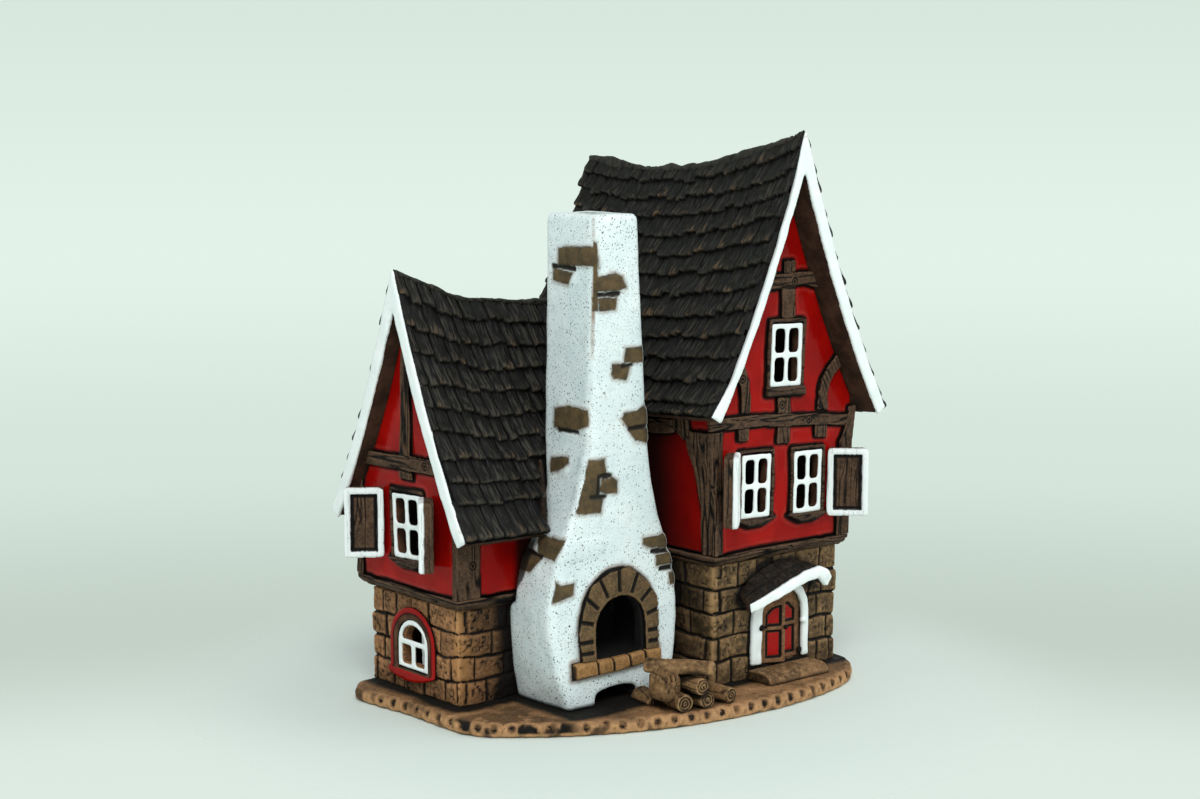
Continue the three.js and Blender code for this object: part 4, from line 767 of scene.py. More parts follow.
def tiles(wing, side, name, hidden, shade=0.0, stop=lambda middle, end: end):
    a, d = np.meshgrid(TILE_ACROSS, TILE_DOWN, indexing="ij")
    wall = np.zeros(a.shape, bool)
    wall[0], wall[-1], wall[:, -1] = True, True, True
    points, faces, paints = [], [], {"tone": [], "warm": [], "comb": [], "dark": []}
    for row, u0, u1, s0, s1 in tile_spots(wing, side, hidden, stop):
        lift, tilt, skew = rng.uniform(0.0, 0.6), rng.uniform(-0.7, 0.7), rng.uniform(-0.35, 0.35)
        own = rng.uniform(0, 900)
        track = (a + skew * d * 0.6) * (u1 - u0)
        comb = most(on_tile(threads, own, track, d * 1.1, 0.55, 61, 0.42),
                    on_tile(threads, own, track + 40, d * 0.8, 0.8, 62, 0.3))
        comb = comb * step(0.0, 0.07, a) * step(1.0, 0.93, a) * (1 - 0.6 * step(0.86, 0.97, d))
        middle = (u0 + u1) / 2
        free = step(0.0, 4.0, middle - wing.front - 0.9) * (0.3 + 0.7 * step(0.0, 5.0, wing.back - middle))
        h = free * (0.4 + (1.6 + lift) * d ** 1.3) + (1 - free) * (0.9 + 0.6 * d) + tilt * (a - 0.5) * d
        h = h + 0.35 * np.sin(np.pi * a) - 0.4 * comb + 0.35 * step(0.6, 0.86, d)
        h = h + 0.22 * on_tile(noise, own, track, d * 8, 1.5, 63)
        if row == 0:
            h = 0.3 + (h - 0.3) * step(0.15, 0.9, d)
        lip = 0.6 * on_tile(noise, own, track, 0 * d, 1.7, 64)
        s = s0 + (s1 - s0) * d + np.where(d > 0.9, lip / wing.slope, 0)
        h = h - 0.45 * step(0.93, 1.0, d) - 0.3 * (step(0.1, 0.0, a) + step(0.9, 1.0, a))
        faces += grid_faces(*a.shape, closed=False, flip=(side > 0) != (wing.along == "x"),
                            first=len(points) * a.size)
        points.append(wing.surface(u0 + (u1 - u0) * a, s, np.where(wall, -0.3, h), side).reshape(-1, 3))
        worn = rng.uniform(0, 1)
        patchy = step(-0.2, 0.5, on_tile(noise, own, track, d * 8, 2.2, 65))
        # Painted highlight: the lip is warm brown, stronger on some tiles
        warm = step(0.55, 0.93, d) * (0.25 + 0.75 * patchy) * (0.1 + 0.9 * worn ** 3)
        shadow = 0.95 * step(0.5, 0.16, d) * (1 if row else 0.3)
        rim = 0.95 * most(step(0.08, 0.03, a), step(0.92, 0.97, a))
        paints["tone"].append(np.full(a.shape, np.clip(rng.uniform(-1, 1) + shade, -1, 1)))
        paints["warm"].append((warm + 0.2 * worn * patchy * d) * ~wall)
        paints["comb"].append(comb)
        paints["dark"].append(np.where(wall, 1.0, most(shadow, rim)))
    new_piece(name, np.concatenate(points), faces, TILE, "tile_clay",
              {key: np.concatenate(values, axis=None) for key, values in paints.items()})


# The near roof meets the stack's left face along this line of places on y and x
STACK_JOINT = [(-15, 27), (-12, 28.6), (-8, 31.2), (-4, 33.9), (-1.2, 35.6)]
# Height added to the roll along each ridge, by the place along it
COTTAGE_CREST = [(-9, 0), (0, -0.35), (98, -0.35)]
TOWER_CREST = [(-46, -0.3), (-38, 0.7), (-26, 1.4), (-14, 1.5), (-2, 0.8), (15, 0.4), (22, 1.4),
               (29, 0.3), (35, 0), (46, 1.2), (58, 1.6), (66, 0.7), (71, 0.3)]


def in_chimney(p):
    return abs(p[0] - HEARTH_X) < 7 and -26 < p[1] < 0


def beside_stack(p):
    """Behind the stack, or in the corner between it and the tower."""
    return p[1] < -1 and (p[0] > np.interp(p[1], *zip(*STACK_JOINT)) - 1) and (p[0] < 58 or p[1] < -4.5)


def stop_at_stack(p, end):
    """The near roof's tiles stop short of the stack's left face."""
    return end if p[1] > -1 or p[0] > 36 else min(end, float(np.interp(p[1], *zip(*STACK_JOINT))) - 1.3)


def under_tower(p):
    return p[0] > 88 and p[2] < float(TOWER.ridge(p[1])) - 1.85 * (TOWER_X - p[0]) - 4


def slab(node, name, wing):
    """The CAD slab with its stepped top planed down to the bed of the tiles."""
    clay = Clay(node, 0.9, 1)
    u, v = clay.p.T[:2] if wing.along == "x" else clay.p.T[1::-1]
    side = 1 if v.mean() > wing.centre else -1
    share = np.clip(side * (v - wing.centre) / wing.spread, 0, 1)
    clay.p[:, 2] = least(clay.p[:, 2], wing.surface(u, share, 0.0, side)[:, 2] - 0.1)
    if wing is COTTAGE and side < 0:
        x, y = clay.p[:, 0], clay.p[:, 1]
        clay.p[:, 1] = np.where((x > 54) & (y < -5), -5 + 0.1 * (y + 5), y)
    clay.push(0.15 * fractal(clay.p, 8, 77))
    clay.cavity(reach=0.35)
    clay.build(name, ROOF, "tile_clay")


def crest(wing, name, back, lift):
    """A lumpy roll of clay along the ridge."""
    def lumps(v, z, size, seed):
        return noise(np.stack([u.ravel(), v.ravel(), z.ravel()], 1), size, seed).reshape(u.shape)

    along, around = np.arange(wing.front + 1.2, back, 0.7), np.linspace(0, 2 * np.pi, 17)[:-1]
    u, turn = np.meshgrid(along, around, indexing="ij")
    size = 1.4 + 0.45 * lumps(0 * u, 0 * u, 5, 78) + 0.25 * lumps(3 * np.cos(turn), 3 * np.sin(turn), 1.6, 79)
    size = size * step(wing.front + 0.8, wing.front + 2.6, u) * step(back, back - 2.5, u)
    v = wing.centre + size * np.cos(turn)
    z = wing.ridge(u) + 0.2 + 0.9 * size * np.sin(turn)
    z = z + np.interp(u, *zip(*lift)) * np.maximum(np.sin(turn), 0)
    points = wing.turned(u, v, z).reshape(-1, 3)
    seam = step(0.35, 0.1, np.abs(np.mod(u / TILE_WIDTH, 1) - 0.5) * TILE_WIDTH).ravel()
    new_piece(name, points, grid_faces(*u.shape, flip=wing.along == "x"), TILE, "tile_clay",
              {"tone": np.zeros(len(points)), "warm": 0.25 * np.maximum(noise(points, 4, 80), 0),
               "comb": threads(points * [1, 1, 0.4], 0.8, 81, 0.3) * 0.6, "dark": 0.7 * seam})


def roofs():
    slab("cottage_roof_near", "slab_cottage_near", COTTAGE)
    slab("cottage_roof_far", "slab_cottage_far", COTTAGE)
    slab("tower_roof_left", "slab_tower_left", TOWER)
    slab("tower_roof_right", "slab_tower_right", TOWER)
    tiles(COTTAGE, -1, "tiles_cottage_near", lambda p: beside_stack(p) or under_tower(p), 0.1, stop_at_stack)
    tiles(COTTAGE, 1, "tiles_cottage_far", under_tower)
    tiles(TOWER, -1, "tiles_tower_left", in_chimney, -0.75)
    tiles(TOWER, 1, "tiles_tower_right", lambda p: False, -0.75)
    crest(COTTAGE, "ridge_cottage", 98, COTTAGE_CREST)
    crest(TOWER, "ridge_tower", TOWER.back, TOWER_CREST)


# Chimney: whitewashed clay, rubbed off along its front corner, with bare bricks showing. Bricks are
# outlines and joints are lines, as (place along the face, height).

FRONT_BRICKS = [
    [(40.2, 157.8), (48.9, 159.1), (52.2, 157.8), (54, 153.6), (50, 152.4), (40.1, 152.8)],
    [(40.7, 150.8), (49.8, 150.4), (48.7, 145.9), (41, 145.9)],
    [(52.9, 132.5), (64, 132.2), (64, 126.2), (52.3, 127.2)],
    [(46.9, 127.1), (50.8, 127), (55.3, 125.3), (53.5, 120.6), (47.4, 121.5), (46.2, 123.4)],
    [(52.3, 109.4), (58.6, 109.6), (61.9, 110.9), (66, 111), (66, 103.3), (54.4, 103.5), (50.9, 107)],
    [(54.4, 102.8), (67, 102.7), (67, 97), (63, 97.1), (57.4, 98.7)],
    [(36, 94.1), (43.7, 93.8), (44.8, 87.9), (41, 86.5), (40.6, 81.5), (43.3, 79.6), (41.8, 74), (31, 74.8),
     (30.2, 76), (33.8, 86)],
    [(41.8, 86.6), (47.2, 86.7), (49.7, 84.9), (49.4, 80.6), (43.6, 80.9), (40.8, 81.9)],
    [(61.6, 62.6), (77, 63.4), (78, 56.9), (66.1, 58.3), (61.3, 60.3)],
    [(67, 56.1), (79, 55.7), (80, 50.8), (67.7, 51.6)],
    [(73.4, 48.5), (81, 48.5), (81, 43.6), (74.3, 43.6)],
    [(20.9, 53), (23, 51.3), (29.5, 50.9), (28.6, 46.6), (19.5, 45)],
    [(37, 171), (40.6, 170), (41, 146), (36, 146)],
]
FRONT_JOINTS = [((41.4, 151.6), (50.4, 151.6)), ((52, 126), (56.3, 126)), ((55, 103.2), (66, 103.4)),
                ((40.6, 86.5), (40.5, 81.4)), ((37.2, 80.5), (44, 79.9)), ((40.6, 87.6), (46.4, 87.4)),
                ((65.9, 57.4), (78, 56.4)), ((70, 50.4), (80, 49.9))]
SIDE_BRICKS = [
    [(-32, 168.7), (-19.2, 168.5), (-7.2, 167.4), (-7.3, 161), (-32, 161.8)],
    [(-16.6, 159.1), (-4.1, 159.9), (-4.1, 155.5), (-13.6, 154.2)],
    [(-6.3, 109.7), (-14.6, 111.8), (-26.5, 111.3), (-27, 105.4), (-19.4, 103.4), (-6.5, 102.9)],
    [(-5.6, 92.1), (-16.8, 93.7), (-17.2, 91.2), (-14.6, 89.3), (-6.4, 86.3)],
    [(-9, 66), (-28, 66.6), (-26, 59.1), (-14, 59.6)],
    [(-17.3, 58.6), (-10, 60), (0, 59.5), (0, 52.6), (-12, 53)],
]
SIDE_JOINTS = [((-16.8, 160.4), (-4.1, 160.6)), ((-21, 102.9), (-9, 102.4)), ((-17, 59.3), (-4, 60))]
HEARTH_SILL = [(27.0, 16.5), (67.6, 17.6), (67.6, 22.3), (27.0, 22.0)]
MOUTH_RADIUS = 15.5
ARCH_RADIUS = 17.9
NOTCH_HALF = 10.3
NOTCH_TOP = 11.6
SMOKE_HOLE = (50.2, -13)
SMOKE_RADIUS = 5.0
# The stack's front face and, from the hearth's middle, the flue's sides at some heights
STACK_FRONT = [5, 17, 32, 39, 50, 60], [-30, -30, -29, -28.6, -28.2, -28]
FLUE_HEIGHTS = [HEARTH_FLOOR, 45, 62, 80, 100, 175]
FLUE_LEFT = [-15, -15, -12, -8.7, -6.3, -4.5]
FLUE_RIGHT = [17.5, 17.5, 17.5, 13.5, 11.5, 7.9]


def chimney():
    clay = Clay("chimney_stack", 0.5, 12)
    p, n = clay.p, clay.normals()
    x, y, z = p.T
    wobble = 0.45 * fractal(p, 4, 31)
    depth, joint = -far(p), np.zeros(len(p))
    for facing, along, bricks, joints in ((-n[:, 1], x, FRONT_BRICKS, FRONT_JOINTS),
                                          (-n[:, 0], y, SIDE_BRICKS, SIDE_JOINTS)):
        for corners in bricks:
            depth = np.where(facing > 0.6, most(depth, inside(along, z, corners) + wobble), depth)
        for ends in joints:
            joint = most(joint, (facing > 0.6) * step(1.05, 0.5, near_line(along, z, ends) + wobble))
    bare = most(step(-0.2, 0.25, depth), joint)
    halo = step(-1.5, -0.2, depth) * (1 - bare) * (0.6 + 0.5 * fractal(p, 3, 32))
    rim = bare * step(0.55, 0.1, depth) * 0.5
    corner = step(0.3, 0.5, least(-n[:, 0], -n[:, 1]))
    seam = corner * step(30, 120, z) * (0.4 + 0.8 * fractal(p, 9, 33)) * (0.45 + 0.55 * step(125, 146, z))

    # Soot and painted shade in the flue, the hearth's mouth, the ash notch and the smoke hole
    left, right = np.interp(z, FLUE_HEIGHTS, FLUE_LEFT), np.interp(z, FLUE_HEIGHTS, FLUE_RIGHT)
    front = np.interp(z, *STACK_FRONT)
    flue = least(x - HEARTH_X - left + 0.8, HEARTH_X + right + 0.8 - x, y - front - 3.4, -y - 2.6,
                 z - HEARTH_FLOOR + 0.7, CHIMNEY_TOP - 4.2 - z)
    vaulted = z > HEARTH_SPRING
    angle = np.arctan2(z - HEARTH_SPRING, x - HEARTH_X)
    radius = np.where(vaulted, np.hypot(z - HEARTH_SPRING, x - HEARTH_X), np.abs(x - HEARTH_X))
    mouth = least(MOUTH_RADIUS - radius, -10 - y, z - HEARTH_FLOOR + 0.5)
    notch = least(NOTCH_HALF - np.abs(x - HEARTH_X + 0.8), y - front - 0.8, NOTCH_TOP - z)
    hole = least(SMOKE_RADIUS - np.hypot(x - SMOKE_HOLE[0], y - SMOKE_HOLE[1]), z - CHIMNEY_TOP + 7)
    soot_and_shade = step(-0.3, 0.5, most(flue, mouth, notch, hole + 0.2 * wobble))

    # Ink round the arch and the sill, a painted shadow along the foot on the base, and painted shade in the
    # corner with the low wing
    outer = (np.where(vaulted, ARCH_RADIUS + 0.4 + 2.8 * np.sin(angle) ** 2, ARCH_RADIUS) + 0.3
             + 0.7 * np.where(vaulted, np.cos(angle), np.sign(x - HEARTH_X)))
    facing_out = step(0.5, 0.7, -n[:, 1]) * (y < front + 2)
    around = np.where(z > HEARTH_FLOOR, most(radius - outer + 0.5, 0.4 * (outer - radius)), FAR)
    sill = inside(x, z, HEARTH_SILL)
    ink = facing_out * most(step(1.0, 0.55, around + wobble), step(-0.7, -0.3, sill + 0.5 * wobble))
    ring_halo = facing_out * most(step(2.2, 0.9, around + wobble), step(-2.2, -0.9, sill + wobble)) * 0.6
    # Painted shadow where the stack stands on the base
    foot = step(GROUND + 2.2, GROUND + 0.6, z + wobble) * 0.9
    # Painted shade in the corner where the stack's left face meets the low wing
    wall = np.where(z > COTTAGE_SILL + 1, -JETTY, 0.0)
    reach = 2.4 + 3.6 * step(45, 52, z)
    wing_corner_shade = step(-0.6, 0.6, y - wall + reach + 0.8 * wobble) * step(0.3, 0.5, -n[:, 0]) * step(68, 62, z)

    clay.push(0.3 * fractal(p, 10, 35) - (0.25 - 0.12 * fractal(p, 3, 36)) * bare - 0.5 * joint)
    clay.cavity()
    edge = step(-0.4, -0.8, clay.paints["cavity"]) * 0.4
    clay.paint("bare", bare)
    clay.paint("thin", most(0.7 * halo, seam, ring_halo, edge))
    clay.paint("dark", most(joint, rim, foot, ink, 0.92 * wing_corner_shade))
    clay.paint("soot_and_shade", soot_and_shade)
    clay.build("chimney", WASH, "whitewash")


def roof_fillet():
    """A worn strip of clay down the joint of the near roof and the stack's left face."""
    heights = (69.4, 72.6, 78.6, 85.0, 90.4)
    line = np.array([(x, y, z) for (y, x), z in zip(STACK_JOINT, heights)][::-1])
    ends = np.linspace(0, len(line) - 1, 40)
    centre = np.stack([np.interp(ends, range(len(line)), column) for column in line.T], 1)
    turn = np.linspace(0, 2 * np.pi, 15)[:-1]
    across, out = np.array([1.0, 0.0, 0.1]), np.array([0.0, -0.75, 0.66])
    taper = np.sin(np.pi * np.clip(ends / 4, 0.06, 0.94)) ** 0.4
    ring = np.cos(turn)[None, :, None] * across * 1.4 + np.sin(turn)[None, :, None] * out * 1.8
    points = (centre[:, None, :] + ring * taper[:, None, None]).reshape(-1, 3)
    points = points + 0.35 * fractal(points, 3, 83)[:, None] * np.array([0.6, -0.6, 0.5])
    new_piece("roof_fillet", points, grid_faces(len(centre), len(turn), flip=True), TIMBER, "timber_clay",
              {"dark": np.clip(0.8 + 0.5 * fractal(points, 4, 84), 0, 1)})


# Hearth: wedge stones with dark slots between them, and a sill of paler bricks

WEDGES = 7
WEDGE_START = 11.65
SILL_JOINTS = (36.8, 44.2, 52.0, 59.6)


def hearth():
    def stones(p, n):
        x, z = p[:, 0] - HEARTH_X, p[:, 2] - HEARTH_SPRING
        angle, radius, slot = np.degrees(np.arctan2(z, x)), np.hypot(z, x), far(p)
        for k in range(WEDGES):
            middle = (k + 0.5) * 180 / WEDGES
            slot = np.where(angle > 0, least(slot, np.abs(np.radians(angle - middle)) * radius), slot)
        slot = least(slot, np.abs(z + 3.2), np.abs(z + 7.2))
        ring = np.where(angle > 0, radius, np.abs(x)) - WEDGE_START
        # Dark slots between the wedges; soot and painted shade on the faces turned from the front
        return most(step(0.95, 0.55, slot) * step(0.9, 1.5, ring), step(0.75, 0.35, -n[:, 1]))

    def bricks(p, n):
        slot = least(*(np.abs(p[:, 0] - joint + 0.1 * (p[:, 2] - HEARTH_FLOOR)) for joint in SILL_JOINTS))
        # Dark joints; painted shade on the faces turned neither to the front nor up
        return most(step(0.65, 0.35, slot), 0.85 * step(0.6, 0.2, most(-n[:, 1], n[:, 2])))

    for node, name, material, marks, grow in (("hearth_arch", "arch_stones", BRICK, stones, 0.25),
                                              ("hearth_sill", "sill_bricks", SILL_BRICK, bricks, 0.55)):
        def press(clay, marks=marks, grow=grow):
            clay.push(grow - 0.45 * marks(clay.p, clay.normals()) + 0.15 * fractal(clay.p, 5, 45))
        timber(node, name, material, "brick_clay", lined=0, bend=0.3, extra=press, dark=marks, outlined=False)


# Shutters: planks in a broad white rim, each worked in its own flat frame

def shutter(node, name, face, hinge, sill, width, height, swing, side):
    turn = math.radians(swing if side < 0 else -swing)
    origin = (-6.0, hinge) if face == "side" else (hinge, -44.0)

    def edge(p):
        """Distance in from the shutter's rim, and depth behind its face."""
        x, y, z = p[:, 0] - origin[0], p[:, 1] - origin[1], p[:, 2] - sill
        if face == "side":
            x, y = -y, x
        x, y = x * math.cos(turn) + y * math.sin(turn), y * math.cos(turn) - x * math.sin(turn)
        x = -x if side < 0 else x
        return least(x, width - x, z, height - z), y

    def groove(clay):
        clay.push(0.22 * np.ones(len(clay.p)))
        rim, y = edge(clay.p)
        front = y < 1.6
        clay.push(np.where(front & (rim > 2.0), -0.3 * step(3.1, 2.5, rim), 0)
                  + np.where(front & (rim < 1.8), 0.15, 0))
        wobble = 0.25 * noise(clay.p, 3, 71)
        clay.paint("glazed", step(1.75, 1.35, y + wobble) * step(2.5, 2.1, rim + wobble))

    def recess(p, n):
        rim, y = edge(p)
        return (y < 1.9) * step(2.15, 2.4, rim) * step(3.7, 3.1, rim)

    timber(node, name, extra=groove, dark=recess, bend=0, outlined=False, grain=0.45)


# Door: brown frames round red panels, with a white pull on the jamb and dark hinges

DOOR_X = TOWER_X + 2.6
LEAF_WIDTH = 10.45
LEAF_SWING = math.radians(22)
PANELS = [[(2.2, 11.9), (7.6, 11.9), (7.6, 21.5), (2.2, 21.5)],
          [(2.2, 24.1), (7.6, 24.1), (7.6, 27.8), (5.2, 30.2), (2.2, 31)]]
HOOD_LINE = [(-20, 36.5), (-16.8, 40), (-12.1, 43), (-6.5, 45), (-0.9, 45.8), (6, 45.4), (13.1, 42), (16, 38)]
HOOD_JOINTS = (-18.5, -12, -5, 2.5, 9.5)


def lump(name, place, radii, material=TIMBER, slot="timber_clay", dark=0.95, seed=1):
    """A small pressed ball of clay."""
    points = ball(12, 20)
    points = np.array(place) + points * radii * (1 + 0.12 * fractal(points * 3, 2.0, seed))[:, None]
    new_piece(name, points, grid_faces(13, 20), material, slot, {"dark": np.full(len(points), dark)})


def door_leaf(side):
    def panel(p):
        """Distance in from the nearest panel's outline, and depth behind the leaf's face."""
        x, y, z = p[:, 0] - DOOR_X, p[:, 1] - TOWER_FRONT - 0.2, p[:, 2]
        if side == "left":
            x, y = x + LEAF_WIDTH, y + 0.3
            x, y = (LEAF_WIDTH - (x * math.cos(LEAF_SWING) - y * math.sin(LEAF_SWING)),
                    x * math.sin(LEAF_SWING) + y * math.cos(LEAF_SWING))
        return most(*(inside(x, z, corners) for corners in PANELS)), y

    def work(clay):
        deep, y = panel(clay.p)
        clay.push(-0.35 * (y < 1.3) * step(0.75, 0.25, np.abs(deep)))
        clay.paint("glazed", (y < 1.3) * step(0.3, 0.6, deep))

    def outline(p, n):
        deep, y = panel(p)
        return most((y < 1.3) * step(0.75, 0.4, np.abs(deep + 0.1)), 0.9 * step(0.7, 0.45, -n[:, 1]))

    timber("door_leaf_" + side, "door_" + side, DOOR, extra=work, dark=outline, voxel=0.3, grain=0.12,
           lined=0.35, bend=0, outlined=False)


def door():
    door_leaf("left")
    door_leaf("right")
    lump("door_pull", (132.4, -40.0, 23.6), (1.25, 1.1, 1.25), WHITE, "white_glaze", dark=0)
    lump("door_latch", (120.6, -42.6, 23.1), (0.9, 0.8, 0.9), seed=2)
    lump("door_hinge_upper", (110.3, -40.2, 23.9), (1.2, 0.8, 1.2), seed=3)
    lump("door_hinge_strap", (112.8, -39.8, 23.8), (1.0, 0.5, 0.6), seed=4)
    lump("door_hinge_lower", (131.2, -39.3, 12.0), (1.2, 0.7, 1.3), seed=5)

    def shingles(p, n):
        x, y = p[:, 0] - DOOR_X, p[:, 1] - TOWER_FRONT
        wander = 1.3 * noise(p, 5, 87)
        upright = least(*(np.abs(x - joint + 0.35 * y + wander) for joint in HOOD_JOINTS))
        line = least(np.abs(y + 4.8 + 0.5 * wander), upright)
        return (n[:, 2] > 0.1) * most(0.5 * step(0.8, 0.2, line), 0.7 * step(-43.5, -46.5, p[:, 1]))

    def swell(clay):
        clay.smooth(10)
        clay.push(0.9 + 0.8 * fractal(clay.p, 5, 86) - 0.5 * shingles(clay.p, clay.normals()))

    timber("door_hood", "hood", HOOD, "tile_clay", level=True, grain=0.1, lined=0.5, bend=0.2,
           dark=shingles, extra=swell)
    trim("door_hood_edge", "hood_edge", rounds=14, wave=0.4, wave_size=4,
         grow=lambda p: (np.interp(p[:, 0] - DOOR_X, [-24, -14, 6, 15], [-0.4, -0.05, 0.2, 0.8])
                         + 0.35 * noise(p, 3, 85)),
         paints=lambda p, n: {"dark": 0.9 * step(0.4, 0.75, n[:, 2] + 0.25 * noise(p, 1.5, 82))
                              * step(-46.6, -45.8, p[:, 1])})
    trim("door_surround", "door_band", wave=0.3, rounds=7, grow=lambda p: 0.1,
         paints=lambda p, n: {"dark": 0.8 * step(GROUND + 5.4, GROUND + 4.4, p[:, 2] + noise(p, 2, 81))})
    # Painted shade low on the step where it meets the base
    timber("doorstep", "step_log", LOG, level=True, grain=0.2, lined=0.35, bend=0.3,
           dark=lambda p, n: most(step(0.5, 0.8, -n[:, 0]) * (0.6 + 0.4 * threads(p, 1.2, 82)),
                                  0.8 * step(GROUND + 1.5, GROUND + 0.4, p[:, 2])))


# Firewood: round and split logs with year rings on their sawn ends, by the ends of their axes

LOG_RADIUS = 3.5
YEAR_RING = 1.15
LOGS = {
    "front": ((56.2, -57, 8.4), (58.4, -44, 8.4)),
    "middle": ((65.4, -58.6, 8.3), (66.6, -42, 8.3)),
    "right": ((77, -58.6, 8.1), (75.6, -42, 8.1)),
    "upper": ((62, -60, 13.9), (62.6, -42.6, 13.9)),
    "split_left": ((55.4, -42.6, 5.2), (57.6, -31.2, 5.2)),
    "split_top": ((54.6, -38.4, 17.8), (68, -58.2, 17.8)),
}


def log(key, seed):
    start, end = np.array(LOGS[key], float)
    aim = (end - start) / np.linalg.norm(end - start)

    def rings(p, n):
        radius = np.linalg.norm(p - start - ((p - start) @ aim)[:, None] * aim, axis=1)
        swirl = (radius + 0.7 * fractal(p, 2.5, 90 + seed)) / YEAR_RING
        ring = step(0.35, 0.12, np.abs(swirl - np.round(swirl))) * step(3.3, 2.9, radius)
        return ring * step(0.6, 0.85, np.abs(n @ aim))

    def bark(p, n, width):
        q = p - 0.9 * ((p - start) @ aim)[:, None] * aim
        return threads(q, 2.4, 95 + seed, width) * step(0.7, 0.4, np.abs(n @ aim))

    def work(clay):
        p, n = clay.p, clay.normals()
        fuller = 0.7 if key == "split_top" else 0.0
        clay.push(fuller + 0.25 * fractal(p, 4, 96 + seed) - 0.25 * bark(p, n, 0.25) - 0.35 * rings(p, n))

    def stain_and_shade(p, n):
        # Painted shade under the log and in the crevices against the others; rings and bark are the log's own
        # marks
        under = step(GROUND + 1.6, GROUND + 0.4, p[:, 2])
        others = least(*(near_segment(p, *ends) for other, ends in LOGS.items() if other != key))
        crevice_shade = step(LOG_RADIUS + 2.5, LOG_RADIUS + 1.0, others)
        return most(0.9 * rings(p, n), 0.8 * bark(p, n, 0.14), 0.8 * under, 0.9 * crevice_shade)

    timber("log_" + key, "firelog_" + key, LOG, lined=0, grain=0.0, bend=0.3, extra=work, dark=stain_and_shade,
           outlined=False)


BLOCK_PLACE = (53.4, -49.0, 13.6)
BLOCK_RADII = (3.7, 4.8, 4.5)
BLOCK_POWER = 9


def split_block():
    """The short split log in front, its bark combed into four ridges along the top."""
    rows, around = 44, 72
    way = ball(rows, around)[:, [0, 2, 1]]
    skin = way / (np.abs(way) ** BLOCK_POWER).sum(1)[:, None] ** (1 / BLOCK_POWER)
    points = skin * BLOCK_RADII * (1 + 0.05 * fractal(skin * 4, 2.5, 87))[:, None]
    top = step(0.55, 0.9, skin[:, 2])
    groove = step(0.35, 0.1, np.abs(np.mod(points[:, 0] / 1.95 + 0.1 * noise(points, 3, 88), 1) - 0.5))
    points[:, 2] += top * (0.9 - 2.3 * groove)
    rings = threads(points + [0, 0, 5], 2.2, 89, 0.2) * step(0.7, 0.9, -skin[:, 1])
    # Painted shade on the block's underside
    under = step(-0.2, -0.9, skin[:, 2])
    faces = grid_faces(rows + 1, around, flip=True)
    piece = new_piece("firelog_split_upper", points + BLOCK_PLACE, faces, LOG, "timber_clay",
                      {"dark": most(0.9 * top * groove, 0.8 * rings, 0.6 * under)})
    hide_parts("log_split_upper")


# Arched window: white bars in a thin brown rebate inside the red band

ARCH_Y, ARCH_FOOT, ARCH_SPRING = 27.3, 12.7, 23.4
ARCH_HALF, ARCH_RISE = 9.2, 8.6
REBATE = 2.5


def arch_window():
    def band(p, n):
        y, z = p[:, 1] - ARCH_Y, p[:, 2] - ARCH_SPRING
        out = np.where(z > 0, (np.hypot(y / ARCH_HALF, z / ARCH_RISE) - 1) * 9, np.abs(y) - ARCH_HALF)
        out = np.where(p[:, 2] < ARCH_FOOT, 3, out)
        return {"inside": step(REBATE, 2.1, out),
                "dark": most(step(0.45, 0.2, np.abs(out - REBATE)), step(0.6, 0.25, -n[:, 0]))}
    trim("cottage_arch_surround", "arch_band", RED, "red_glaze", paints=band)
    trim("cottage_arch_frame", "arch_bars")


# The stage: a pale floor that fades into a backdrop of the photo's greens, soft light, the camera

# The darker band at 0.23 is a painted shadow of the table's edge
BACKDROP = [(0.0, (224, 238, 231)), (0.1, (220, 234, 226)), (0.23, (195, 209, 199)), (0.42, (214, 230, 221)),
            (0.62, (227, 242, 233)), (0.95, (215, 230, 221))]
HORIZON = (-0.34, 0.1)
FLOOR_FADE = (104, 190)
FLOOR_HALF = 3
LAMPS = [("key", (-1.0, -1.2, 1.5), 0.9, 21), ("fill", (1.3, -1.0, 0.9), 1.2, 8)]
LENS = 63.03
CAMERA_PLACE = (-432.2, -584.4, 215.0)
CAMERA_AIM = Vector((0.6421, 0.7545, -0.1357))
LAMP_AIM = Vector((0, 0, 0.09))


def floor():
    paper = Finish("paper", 0.9, shine=0.1)
    paper.done((226, 238, 231))
    away = paper.node("VectorMath", {0: paper.where}, operation="LENGTH").outputs["Value"]
    fade = paper.math("MULTIPLY", paper.ramp(away, *FLOOR_FADE), paper.seen())
    paper.mix_shaders(fade, paper.shader, paper.node("BsdfTransparent"), "Material Output")
    mesh = bpy.data.meshes.new("floor")
    corners = [(x * FLOOR_HALF, y * FLOOR_HALF, 0) for x, y in ((-1, -1), (1, -1), (1, 1), (-1, 1))]
    mesh.from_pydata(corners, [], [(0, 1, 2, 3)])
    mesh.materials.append(paper.material)
    add_object("floor", mesh)


def sky():
    world = bpy.data.worlds.new("sky")
    scene.world = world
    world.use_nodes = True
    air = Nodes(world.node_tree)
    split = air.node("SeparateXYZ", {0: air.node("TexCoord").outputs["Generated"]})
    low, high = HORIZON
    height = air.node("MapRange", {"Value": split.outputs["Z"], "From Min": low, "From Max": high})
    ramp = air.node("ValToRGB", {"Fac": height.outputs["Result"]})
    ramp.color_ramp.interpolation = "EASE"
    while len(ramp.color_ramp.elements) < len(BACKDROP):
        ramp.color_ramp.elements.new(0.5)
    for element, (share, color) in zip(ramp.color_ramp.elements, BACKDROP):
        element.position, element.color = share, rgb(*color)
    backdrop = air.tree.nodes["Background"]
    air.join(ramp.outputs["Color"], backdrop.inputs["Color"])
    light = air.node("Background", {"Color": (240, 246, 248), "Strength": 0.6})
    air.mix_shaders(air.seen(), light, backdrop, "World Output")


